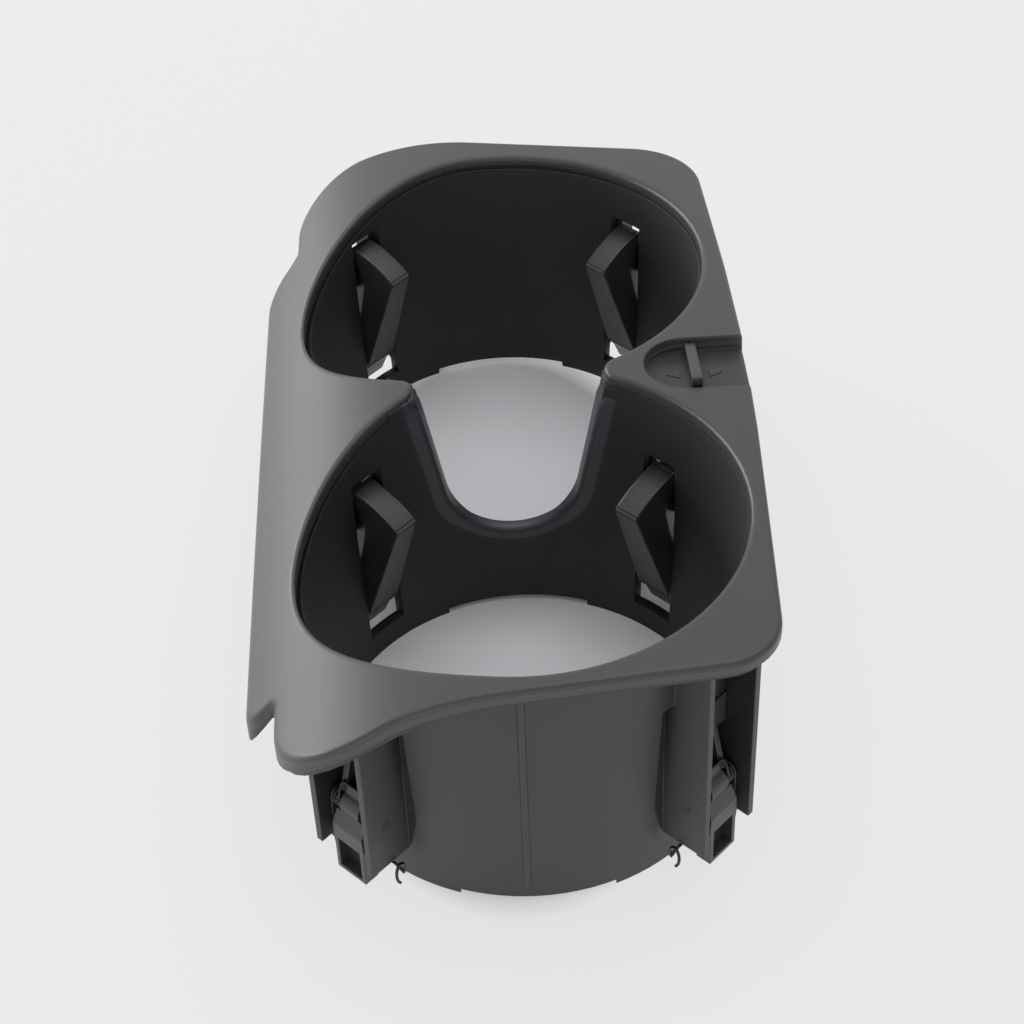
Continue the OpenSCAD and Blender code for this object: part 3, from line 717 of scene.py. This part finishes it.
def bezel_rows(bezel, recess, along, steps):
    """Points of the bezel, one row for each cross line: up the mouth's edge, over the top,
    down the outer edge and back below, with the recess sunk into the top."""
    a, a_way, b, b_way = bezel_lines(bezel, along)
    r_in, r_out = bezel.mouth_round, bezel.rim_round
    turn = np.linspace(0.0, np.pi / 2.0, 6)
    inner = a + a_way * r_in
    outer = b - b_way * r_out
    flat, sink = [], []
    for t in turn[:-1]:
        flat.append(a + a_way * r_in * (1.0 - math.cos(t)))
        sink.append(r_in * (1.0 - math.sin(t)))
    for t in np.linspace(0.0, 1.0, steps):
        flat.append(inner + (outer - inner) * t)
        sink.append(0.0)
    for t in turn[1:]:
        flat.append(outer + b_way * r_out * math.sin(t))
        sink.append(r_out * (1.0 - math.cos(t)))
    flat = np.stack(flat, axis=1)
    x, y = flat[..., 0], flat[..., 1]
    top = bezel_height(bezel, x, y, 0.0) - recess_drop(bezel, recess, x, y) - np.array(sink)
    upper = np.concatenate([flat, top[..., None]], axis=2)
    t = np.linspace(1.0, 0.0, 8)[None, :, None]
    under = a[:, None] + (b - a)[:, None] * t
    x, y = under[..., 0], under[..., 1]
    low = bezel_height(bezel, x, y, bezel.shell_t)
    in_recess = (recess_distance(recess, x, y) < 1.3) & (x > 0.0)
    low = np.where(in_recess, np.minimum(low, recess_floor(bezel, recess, y) - recess.floor_t), low)
    low = swing_room(x, y, low, bezel_height(bezel, x, y, 0.0))
    under = np.concatenate([under, low[..., None]], axis=2)
    edge = np.concatenate([np.ones(5), np.zeros(steps), np.ones(5), np.ones(8)])
    # sunk marks the recess floor, where the bezel finish paints shade into the colour and makes it
    # duller
    sunk = smooth_step(-recess_distance(recess, upper[..., 0], upper[..., 1]) / 0.8)
    sunk = np.concatenate([sunk * (upper[..., 0] > 0.0), np.zeros(under.shape[:2])], axis=1)
    values = np.stack([np.broadcast_to(edge, sunk.shape), sunk], axis=2)
    return np.concatenate([upper, under], axis=1), values


def bezel_cover(bezel, recess, material):
    """The whole bezel as one closed ring: wide rows where it is plain, fine ones where the
    recess is, and faces with many corners between the two."""
    rim, _ = mouth(bezel)
    rim_all = run_length(rim)[-1]
    tip = run_length(rim)[np.argmin(np.hypot(*(rim - (bezel.neck_half, SPACING / 2.0)).T))]
    fine_half, fine_rows, plain_rows = 13.0, 190, 330
    first, last = tip - fine_half, tip + fine_half
    fine = np.linspace(first, last, fine_rows)
    plain = np.linspace(last, rim_all + first, plain_rows)[1:-1] % rim_all
    coarse_steps, factor = 33, 5
    fine_steps = (coarse_steps - 1) * factor + 1
    rows_f, values_f = bezel_rows(bezel, recess, fine, fine_steps)
    rows_c, values_c = bezel_rows(bezel, recess, plain, coarse_steps)
    n_f, n_c = rows_f.shape[1], rows_c.shape[1]
    points = np.concatenate([rows_f.reshape(-1, 3), rows_c.reshape(-1, 3)])
    base = len(fine) * n_f
    # Places in a fine row that stand across from the places of a wide row.
    same = np.concatenate([np.arange(5), 5 + np.arange(coarse_steps) * factor,
                           5 + fine_steps + np.arange(n_c - coarse_steps - 5)])
    faces = [grid_faces(len(fine), n_f, close_columns=True),
             grid_faces(len(plain), n_c, close_columns=True, start=base)]
    for row_f, row_c, flip in ((len(fine) - 1, 0, False), (0, len(plain) - 1, True)):
        here, there = row_f * n_f + same, base + row_c * n_c + np.arange(n_c)
        step = np.arange(5, 5 + coarse_steps - 1)
        many = [row_f * n_f + same[step] + k for k in range(factor + 1)]
        wide = np.stack([there[step]] + [there[step + 1]] + many[::-1], axis=1)
        plain_at = np.array([k for k in range(n_c) if k not in step])
        after = (plain_at + 1) % n_c
        quad = np.stack([there[plain_at], there[after], here[after], here[plain_at]], axis=1)
        faces += [f[:, ::-1] if flip else f for f in (wide, quad)]
    piece = make_piece("bezel_cover", points, faces, material, "root")
    values = np.concatenate([values_f.reshape(-1, 2), values_c.reshape(-1, 2)])
    spread_value(piece, "edge", values[:, 0])
    spread_value(piece, "sunk", values[:, 1])
    return piece


def on_ramp(bezel, recess):
    """Maps x, distance from the rear wall and height over the recess's floor to the model."""
    slope = math.atan(recess.depth / (2.0 * recess.half_w))
    rear = recess.mid_y + recess.half_w
    low = float(recess_floor(bezel, recess, rear))

    def place(points):
        out = np.array(points, float)
        y, z = points[:, 1], points[:, 2]
        out[:, 1] = rear + y * math.cos(slope) + z * math.sin(slope)
        out[:, 2] = low - y * math.sin(slope) + z * math.cos(slope)
        return out

    return place


def rounded_plan(corners, radius):
    """A convex outline with its corners rounded, anticlockwise."""
    corners = np.asarray(corners, float)
    return np.concatenate([
        fillet(corners[k - 1], corner, corners[(k + 1) % len(corners)], radius, 5)[0]
        for k, corner in enumerate(corners)])


def domed_rings(plan, low, high, rounding):
    """Rings of a pad: straight up from low, then drawn in round the top edge to high."""
    middle = plan.mean(axis=0)
    size = np.abs(plan - middle).max()
    rings = [np.column_stack([plan, np.full(len(plan), low)])]
    for t in np.linspace(0.0, np.pi / 2.0, 6):
        inset = 1.0 - rounding * (1.0 - math.cos(t)) / size
        level = high - rounding * (1.0 - math.sin(t))
        rings.append(np.column_stack([middle + (plan - middle) * inset,
                                      np.full(len(plan), level)]))
    rings.append(np.column_stack([middle + (plan - middle) * 0.5, np.full(len(plan), high)]))
    return rings


# Catch


def ramp_middle(recess):
    """Middle of the recess along its floor, from the rear wall."""
    return -recess.half_w / math.cos(math.atan(recess.depth / (2 * recess.half_w)))


def catch_fin(bezel, recess, material):
    """The fin's rounded cover, a little over the solid's faces and clear of the marks."""
    cover, low, corner_r, edge_r = 0.06, 0.34, 0.35, 0.3
    x, middle = recess.fin_x, ramp_middle(recess)
    w, l = recess.fin_t / 2 + cover, recess.fin_l / 2 + cover
    plan = rounded_plan([[x - w, middle - l], [x + w, middle - l],
                         [x + w, middle + l], [x - w, middle + l]], corner_r)
    return pad("catch_fin", domed_rings(plan, low, recess.fin_h + cover, edge_r), material,
               "catch", on_ramp(bezel, recess))


def arrow_mark(name, side, bezel, recess, material):
    """A low triangle beside the fin that points away from it, with the same painted shade as the
    recess floor.
    """
    gap, reach, half, forward, high, sunk = 2.7, 2.7, 1.65, 1.45, 0.18, 0.8
    x, middle = recess.fin_x + side * gap, ramp_middle(recess) - forward
    tri = np.array([[x, middle - half], [x + side * reach, middle], [x, middle + half]])
    plan = rounded_plan(tri if side > 0 else tri[::-1], 0.2)
    mark = pad(name, domed_rings(plan, -0.3, high, 0.14), material, "root",
               on_ramp(bezel, recess))
    # Painted shade, as on the recess floor
    spread_value(mark, "sunk", np.full(len(mark.data.vertices), sunk))
    return mark


# Notch


def web_half(sizes, x, z):
    """Half the wall between the cups: at least half the web, and where the cups curve away,
    what lies between the middle and the front cup's tapered inside."""
    inner = sizes.foot_r + sizes.taper * z
    return np.maximum(sizes.web_t / 2.0, SPACING / 2.0 - np.sqrt(inner ** 2 - x ** 2))


def notch_rim(sizes, material):
    """The notch's rounded rim, carried along its U. Each section runs up the front cup's
    inside, round the edge, across, round the other edge and down the rear cup's inside. It
    stands over the wall by what the edge's corner needs to lie inside the rounding, and
    sinks into the wall at its legs' ends and at the top, under the bezel."""
    lean = math.radians(sizes.lean)
    centre_z = sizes.low + sizes.round_r
    touch = sizes.round_r * np.array([math.cos(lean), -math.sin(lean)])
    side = (sizes.top - centre_z - touch[1]) / math.cos(lean)
    bend = sizes.round_r * (math.pi - 2.0 * lean)
    along = np.linspace(-side - bend / 2.0, side + bend / 2.0, 150)
    past = np.maximum(np.abs(along) - bend / 2.0, 0.0)
    turn = np.clip(along, -bend / 2.0, bend / 2.0) / sizes.round_r - math.pi / 2.0
    x = sizes.round_r * np.cos(turn) + np.sign(along) * past * math.sin(lean)
    z = centre_z + sizes.round_r * np.sin(turn) + past * math.cos(lean)
    way = np.column_stack([-np.cos(turn), -np.sin(turn)])
    stand = (sizes.stand + 0.1) * smooth_step((side - past) / 5.0) - 0.1
    r = sizes.edge_round
    deep = np.linspace(sizes.leg, r - sizes.stand, 12)
    swing = np.linspace(0.0, np.pi / 2.0, 9)[1:]

    def wall(depth):
        """Half the wall at a depth under the rim."""
        return web_half(sizes, x - way[:, 0] * depth, z - way[:, 1] * depth)

    half = wall(r - sizes.stand)
    columns = []
    for depth in deep:
        grown = stand * smooth_step((sizes.leg - depth) / (sizes.leg - 1.2)) - 0.1 * (
            depth == deep[0])
        columns.append((np.full(len(x), -depth), wall(depth) + grown))
    for a in swing:
        columns.append((stand - r * (1.0 - math.sin(a)), half + stand - r * (1.0 - math.cos(a))))
    rise = np.stack([c[0] for c in columns], axis=1)
    out = np.stack([c[1] for c in columns], axis=1)
    rise = np.concatenate([rise, rise[:, ::-1]], axis=1)
    y = SPACING / 2.0 + np.concatenate([-out, out[:, ::-1]], axis=1)
    rings = np.stack([x[:, None] + way[:, :1] * rise, y, z[:, None] + way[:, 1:] * rise], axis=2)
    piece = pad("notch_rim", rings, material, "root", lambda points: points)
    # band marks the rim, which the cup moulding lightens as a painted highlight and keeps out of the
    # painted shade inside the cups
    band = np.concatenate([smooth_step((2.6 - deep) / 0.6), np.ones(len(swing))])
    band = np.tile(np.concatenate([band, band[::-1]]), len(x))
    spread_value(piece, "edge", np.append(band, [0.0, 0.0]))
    return piece


# Guides behind the slots


def slot_guide(cup, number, material):
    """An inverted U behind a slot's upper end, beside and over the flap's top: a chamfered
    bar whose section is carried up one leg, across with mitred corners, and down the other.
    Its inner edge keeps 0.4 mm from the flap, and its feet stay over the flap's stops."""
    gap, rim = 2.9, 5.6
    foot, lintel, crown = 38.4, 42.3, 44.4
    near, far, cut = 41.1, 42.3, 0.15
    inner = np.array([[-gap, foot], [-gap, lintel], [gap, lintel], [gap, foot]])
    outer = np.array([[-rim, foot], [-rim, crown], [rim, crown], [rim, foot]])
    across = np.array([0.0, 0.0, cut, 1 - cut, 1.0, 1.0, 1 - cut, cut])
    reach = np.array([near + cut, far - cut, far, far, far - cut, near + cut, near, near])
    spots = inner[:, None] + (outer - inner)[:, None] * across[None, :, None]
    rings = np.concatenate([np.broadcast_to(reach[None, :, None], (4, 8, 1)), spots], axis=2)
    return pad(f"{cup}_slot_guide_{number}", rings, material, "root", flap_frame(cup, number))


# Flap skins


def flap_lines(sizes):
    """A flap from the side: the line up the front face, round the tip and back along the
    top's arc round the pivot, the line behind it at which the sides end, and each point's
    share in the top, from 0 to 1."""
    hub = np.array([PIVOT_REACH, PIVOT_H])
    tip_at = np.array([sizes.tip_reach, sizes.tip_h])
    rise = tip_at - hub
    top_r = float(np.hypot(*rise)) + sizes.proud
    tip = math.degrees(math.atan2(rise[1], rise[0]))
    heel = hub - (6.0, 8.5)
    face = (heel - tip_at) / np.linalg.norm(heel - tip_at)
    out_way = np.array([face[1], -face[0]])
    front = tip_at + out_way * sizes.proud + face * np.linspace(
        np.linalg.norm(heel - tip_at), 0.9, 30)[:, None]
    angle = np.linspace(tip - 1.5, BACK_ANGLE + 2.0, 34)
    radius = top_r - sizes.fall * (tip - angle) / (tip - BACK_ANGLE)
    way = np.column_stack([np.cos(np.radians(angle)), np.sin(np.radians(angle))])
    top = hub + radius[:, None] * way
    bend = through(np.column_stack([np.vstack([front[-2:], top[:2]]), np.zeros(4)]), 8)[8:17, :2]
    edge_line = np.vstack([front[:-1], bend, top[1:]])
    lengths = run_length(edge_line)
    on_top = smooth_step((lengths - lengths[len(front) + 6]) / 0.8)
    back_low = hub - (1.2, 5.0)
    back_high = hub + (radius[-1] - 0.5) * toward(BACK_ANGLE + 1.0)
    share = lengths / lengths[-1]
    return edge_line, back_low + (back_high - back_low) * (share[:, None] ** 1.2), on_top


def flap_skin(cup, number, sizes, material):
    """The outer skin of a flap's wedge. One parameter runs along the line of its side view;
    the other runs from the back of one side, round the edge, across, and to the back of the
    other side. The top has fine ridges. A copy 0.12 mm further in closes it."""
    skin, ridge_h = 0.12, 0.045
    edge_line, back, on_top = flap_lines(sizes)
    low_h, high_h = PIVOT_H - 8.0, sizes.tip_h

    def half_width(height):
        t = np.clip((height - low_h) / (high_h - low_h), 0.0, 1.0)
        return (sizes.heel_w + (sizes.tip_w - sizes.heel_w) * t) / 2.0 + sizes.proud

    half = half_width(edge_line[:, 1])
    inward = back - edge_line
    inward /= np.maximum(np.linalg.norm(inward, axis=1), 0.4)[:, None]
    r = sizes.edge_round
    turn = np.linspace(0.0, np.pi / 2.0, 5)
    columns = []
    for t in (1.0, 0.66, 0.33):
        columns.append((edge_line + inward * r + (back - edge_line - inward * r) * t,
                        half_width((edge_line + (back - edge_line) * t)[:, 1])))
    for t in turn[:-1]:
        columns.append((edge_line + inward * r * (1.0 - math.sin(t)),
                        half - r * (1.0 - math.cos(t))))
    left = [np.column_stack([p[:, 0], -w, p[:, 1]]) for p, w in columns]
    right = [np.column_stack([p[:, 0], w, p[:, 1]]) for p, w in columns][::-1]
    across = np.linspace(-1.0, 1.0, 6 * sizes.ridges + 1)
    ridge = ridge_h * (1.0 - np.cos((across + 1.0) * np.pi * sizes.ridges)) * on_top[:, None]
    way = edge_line - np.array([PIVOT_REACH, PIVOT_H])
    way /= np.linalg.norm(way, axis=1)[:, None]
    middle = edge_line[:, None] + way[:, None] * ridge[..., None]
    flat = np.stack([middle[..., 0], (half - r)[:, None] * across[None, :],
                     middle[..., 1]], axis=2)
    grid = np.concatenate([np.stack(left, axis=1), flat, np.stack(right, axis=1)], axis=1)
    rows, count = grid.shape[:2]
    centre = np.column_stack([back[:, 0], np.zeros(rows), back[:, 1]])[:, None]
    pull = centre - grid
    pull /= np.maximum(np.linalg.norm(pull, axis=2, keepdims=True), 0.5)
    points = np.stack([grid, grid + pull * skin]).reshape(-1, 3)
    half_count = rows * count
    faces = [grid_faces(rows, count), grid_faces(rows, count, start=half_count)[:, ::-1]]
    border = np.concatenate([np.arange(count), np.arange(1, rows) * count + count - 1,
                             (rows - 1) * count + np.arange(count - 2, -1, -1),
                             np.arange(rows - 2, 0, -1) * count])
    after = np.roll(border, -1)
    faces.append(np.stack([border, after, after + half_count, border + half_count], axis=1))
    return make_piece(f"{cup}_flap_{number}_skin", flap_frame(cup, number)(points), faces,
                      material, f"{cup}_flap_{number}")


# Springs


def half_wire(sizes, flap):
    """One half of a spring, from its loop to the middle of its bar: an oval loop below the
    plate, a leg, the helix round the pin, and the corner to the bar, which lies behind the
    line from the flap's rear corner to its pivot."""
    wire = sizes.wire_d
    pitch = wire + 0.05
    coil_in = sizes.hub_w / 2.0 + 0.25 + wire / 2.0
    coil_out = coil_in + sizes.turns * pitch
    leg_y = sizes.pocket_w / 2.0 + 0.6
    loop_z = sizes.plate_foot - 3.2
    back_top = toward(BACK_ANGLE) * (
        np.hypot(flap.tip_reach - PIVOT_REACH, flap.tip_h - PIVOT_H) - flap.fall)
    back = 1.0 + (back_top[0] - 1.0) * (sizes.bar_rise - 1.5) / (back_top[1] - 1.5)
    bar_x = PIVOT_REACH + back + wire / 2.0 + 0.15
    k = np.linspace(0.0, 9.0, 46)
    turn = np.radians(-60.0 + k * 30.0)
    loop = np.column_stack([PIVOT_REACH - 1.2 + 1.2 * np.cos(turn), leg_y + 0.07 * (10.0 - k),
                            loop_z + 2.3 * np.sin(turn)])
    leg = np.array([loop[-1], [PIVOT_REACH - 0.9, leg_y - 1.2, sizes.plate_foot - 1.0],
                    [PIVOT_REACH + 0.6, coil_out - 0.1, sizes.plate_foot - 0.2],
                    [PIVOT_REACH + sizes.coil_r - 0.2, coil_out, PIVOT_H - 5.0],
                    [PIVOT_REACH + sizes.coil_r, coil_out, PIVOT_H]])
    turns = np.linspace(0.0, sizes.turns, int(sizes.turns * 40) + 1)
    turn = turns * 2.0 * np.pi
    helix = np.column_stack([PIVOT_REACH + sizes.coil_r * np.cos(turn),
                             coil_out - pitch * turns,
                             PIVOT_H + sizes.coil_r * np.sin(turn)])
    corner = np.array([helix[-1], [bar_x + 0.7, coil_in - 0.05, PIVOT_H + sizes.bar_rise - 2.0],
                       [bar_x + 0.1, coil_in - 0.2, PIVOT_H + sizes.bar_rise - 0.6],
                       [bar_x, coil_in - 0.8, PIVOT_H + sizes.bar_rise],
                       [bar_x, 0.0, PIVOT_H + sizes.bar_rise]])
    return np.concatenate([loop[:-1], through(leg, 10)[:-1], helix[:-1], through(corner, 8)])


def spring_wire(cup, number, sizes, flap, material):
    """Both halves of a spring as one round wire that bends where the flap carries its bar."""
    half = half_wire(sizes, flap)
    path = np.concatenate([half, half[-2::-1] * (1.0, -1.0, 1.0)])
    piece = tube(f"{cup}_spring_{number}_wire", path, sizes.wire_d / 2.0, 12, material,
                 None, flap_frame(cup, number))
    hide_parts(f"{cup}_spring_{number}")
    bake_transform(piece)
    return piece


# Stage


def add_floor(rgb):
    mesh = bpy.data.meshes.new("studio_floor")
    corners = [(-4.0, -4.0, 0.0), (4.0, -4.0, 0.0), (4.0, 6.0, 0.0), (-4.0, 6.0, 0.0)]
    mesh.from_pydata(corners, [], [(0, 1, 2, 3)])
    mesh.materials.append(floor_finish(rgb))
    floor = add("studio_floor", mesh)


def studio_air():
    """Even, slightly blue light from all round."""
    world = bpy.data.worlds.new("studio_air")
    world.use_nodes = True
    air = world.node_tree.nodes["Background"]
    air.inputs["Color"].default_value = (0.93, 0.95, 1.0, 1.0)
    air.inputs["Strength"].default_value = 0.55
    return world


def add_lamp(name, place, aim, size, power):
    """A soft box that faces its aim; places and sizes in metres, power in watts."""
    data = bpy.data.lights.new(name, "AREA")
    data.shape = "RECTANGLE"
    data.size, data.size_y = size
    data.energy = power
    way = Vector(aim) - Vector(place)
    add(name, data).matrix_world = Matrix.Translation(place) @ way.to_track_quat(
        "-Z", "Y").to_matrix().to_4x4()


def add_camera():
    """The camera that was fitted to the photograph. It stands at a distance from a target on
    the ground, in the direction of its azimuth and elevation, and rolls about its view."""
    field, distance = 25.33, 0.48322
    target = Vector((ORIGIN + (0.12, 63.04, 0.0)) * MM)
    azimuth, elevation, roll = (math.radians(angle) for angle in (-1.12, 42.97, -2.55))
    data = bpy.data.cameras.new("camera")
    data.sensor_fit = "HORIZONTAL"
    data.sensor_width = 36.0
    data.lens = 18.0 / math.tan(math.radians(field) / 2.0)
    data.clip_start, data.clip_end = 0.02, 20.0
    back = Vector((math.sin(azimuth) * math.cos(elevation),
                   -math.cos(azimuth) * math.cos(elevation), math.sin(elevation)))
    level = back.cross(Vector((0.0, 0.0, -1.0))).normalized()
    over = back.cross(level)
    across = level * math.cos(roll) + over * math.sin(roll)
    upward = over * math.cos(roll) - level * math.sin(roll)
    turned = Matrix((across, upward, back)).transposed().to_4x4()
    camera = add("camera", data)
    camera.matrix_world = Matrix.Translation(target + back * distance) @ turned
    return camera


# Operators


class PieceOperator:
    """What the operators share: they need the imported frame."""

    bl_options = {"REGISTER", "UNDO"}

    @classmethod
    def poll(cls, context):
        return bool(frame["nodes"])


class CUP_OT_stage(PieceOperator, bpy.types.Operator):
    """Pale floor, soft studio light and the camera"""
    bl_idname = "cup.stage"
    bl_label = "Stage"

    def execute(self, context):
        scene = context.scene
        scene.view_settings.view_transform = "Standard"
        add_floor(scene.cup_finish.floor)
        scene.world = studio_air()
        ground, seat = (0.0, 0.0, 0.0), (0.0, 0.0, 0.03)
        add_lamp("overhead_box", (0.1, 0.3, 1.5), ground, (1.6, 1.2), 8.0)
        add_lamp("left_box", (-1.35, 0.75, 0.22), seat, (1.5, 0.6), 19.0)
        add_lamp("front_box", (-0.4, -1.5, 0.25), seat, (1.2, 0.45), 3.0)
        add_lamp("rear_box", (0.2, 1.6, 0.62), seat, (2.0, 0.45), 3.5)
        scene.camera = add_camera()
        return {"FINISHED"}


class CUP_OT_moulding(PieceOperator, bpy.types.Operator):
    """Finish of the cup moulding and of the pins"""
    bl_idname = "cup.moulding"
    bl_label = "Cup moulding"

    def execute(self, context):
        colours = context.scene.cup_finish
        dress("cup_body", cup_finish(colours.cup))
        steel = pin_finish(colours.pin)
        for cup, number in FLAPS:
            dress(f"{cup}_pin_{number}", steel)
        return {"FINISHED"}


class CUP_OT_bezel(PieceOperator, bpy.types.Operator):
    """Rolled bezel with its rounded edges, necks and finger recess"""
    bl_idname = "cup.bezel"
    bl_label = "Bezel"

    def execute(self, context):
        scene = context.scene
        piece = bezel_cover(scene.cup_bezel, scene.cup_recess,
                            bezel_finish(scene.cup_finish.bezel))
        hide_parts("top_bezel")
        return {"FINISHED"}


class CUP_OT_notch(PieceOperator, bpy.types.Operator):
    """Rounded rim of the notch between the cups, and the guides behind the slots"""
    bl_idname = "cup.notch"
    bl_label = "Notch rim and guides"

    def execute(self, context):
        material = bpy.data.materials["cup_moulding"]
        notch_rim(context.scene.cup_notch, material)
        for cup, number in FLAPS:
            slot_guide(cup, number, material)
        return {"FINISHED"}


class CUP_OT_catch(PieceOperator, bpy.types.Operator):
    """Fin of the release catch and the two arrow marks beside it"""
    bl_idname = "cup.catch"
    bl_label = "Release catch"

    def execute(self, context):
        scene = context.scene
        bezel, recess = scene.cup_bezel, scene.cup_recess
        material = catch_finish(scene.cup_finish.catch)
        dress("release_catch", material)
        fin = catch_fin(bezel, recess, material)
        paint = bpy.data.materials["bezel_soft_touch"]
        for side, name in ((-1, "arrow_mark_left"), (1, "arrow_mark_right")):
            mark = arrow_mark(name, side, bezel, recess, paint)
        return {"FINISHED"}


class CUP_OT_flaps(PieceOperator, bpy.types.Operator):
    """Eight flaps: their finish, and the ribbed skin with rounded edges"""
    bl_idname = "cup.flaps"
    bl_label = "Flaps"

    def execute(self, context):
        scene = context.scene
        material = flap_finish(scene.cup_finish.flap)
        for cup, number in FLAPS:
            dress(f"{cup}_flap_{number}", material)
            skin = flap_skin(cup, number, scene.cup_flap, material)
        return {"FINISHED"}


class CUP_OT_springs(PieceOperator, bpy.types.Operator):
    """Eight torsion springs of round wire"""
    bl_idname = "cup.springs"
    bl_label = "Springs"

    def execute(self, context):
        scene = context.scene
        material = wire_finish(scene.cup_finish.wire)
        for cup, number in FLAPS:
            piece = spring_wire(cup, number, scene.cup_spring, scene.cup_flap, material)
        return {"FINISHED"}


def dress(node, material):
    """Gives a carried-over solid its finish."""
    slots = frame["nodes"][node].data.materials
    if len(slots):
        for k in range(len(slots)):
            slots[k] = material
    else:
        slots.append(material)


class CUP_PT_panel(bpy.types.Panel):
    """Lists the steps that dress the cup holder"""
    bl_idname = "CUP_PT_panel"
    bl_label = "Cup holder"
    bl_space_type = "VIEW_3D"
    bl_region_type = "UI"
    bl_category = "Cup holder"

    def draw(self, context):
        column = self.layout.column(align=True)
        for step in OPERATORS:
            column.operator(step.bl_idname)
        for name, group in SIZE_GROUPS.items():
            box = self.layout.box()
            for key in group.__annotations__:
                box.prop(getattr(context.scene, name), key)


OPERATORS = (CUP_OT_stage, CUP_OT_moulding, CUP_OT_bezel, CUP_OT_notch, CUP_OT_catch,
             CUP_OT_flaps, CUP_OT_springs)


def register():
    for name, group in SIZE_GROUPS.items():
        bpy.utils.register_class(group)
        setattr(bpy.types.Scene, name, bpy.props.PointerProperty(type=group))
    for item in (*OPERATORS, CUP_PT_panel):
        bpy.utils.register_class(item)


def unregister():
    for item in (CUP_PT_panel, *OPERATORS[::-1]):
        bpy.utils.unregister_class(item)
    for name, group in SIZE_GROUPS.items():
        delattr(bpy.types.Scene, name)
        bpy.utils.unregister_class(group)


def main():
    register()
    bpy.ops.cup.stage()
    bpy.ops.cup.moulding()
    bpy.ops.cup.bezel()
    bpy.ops.cup.notch()
    bpy.ops.cup.catch()
    bpy.ops.cup.flaps()
    bpy.ops.cup.springs()


if __name__ == "__main__":
    main()
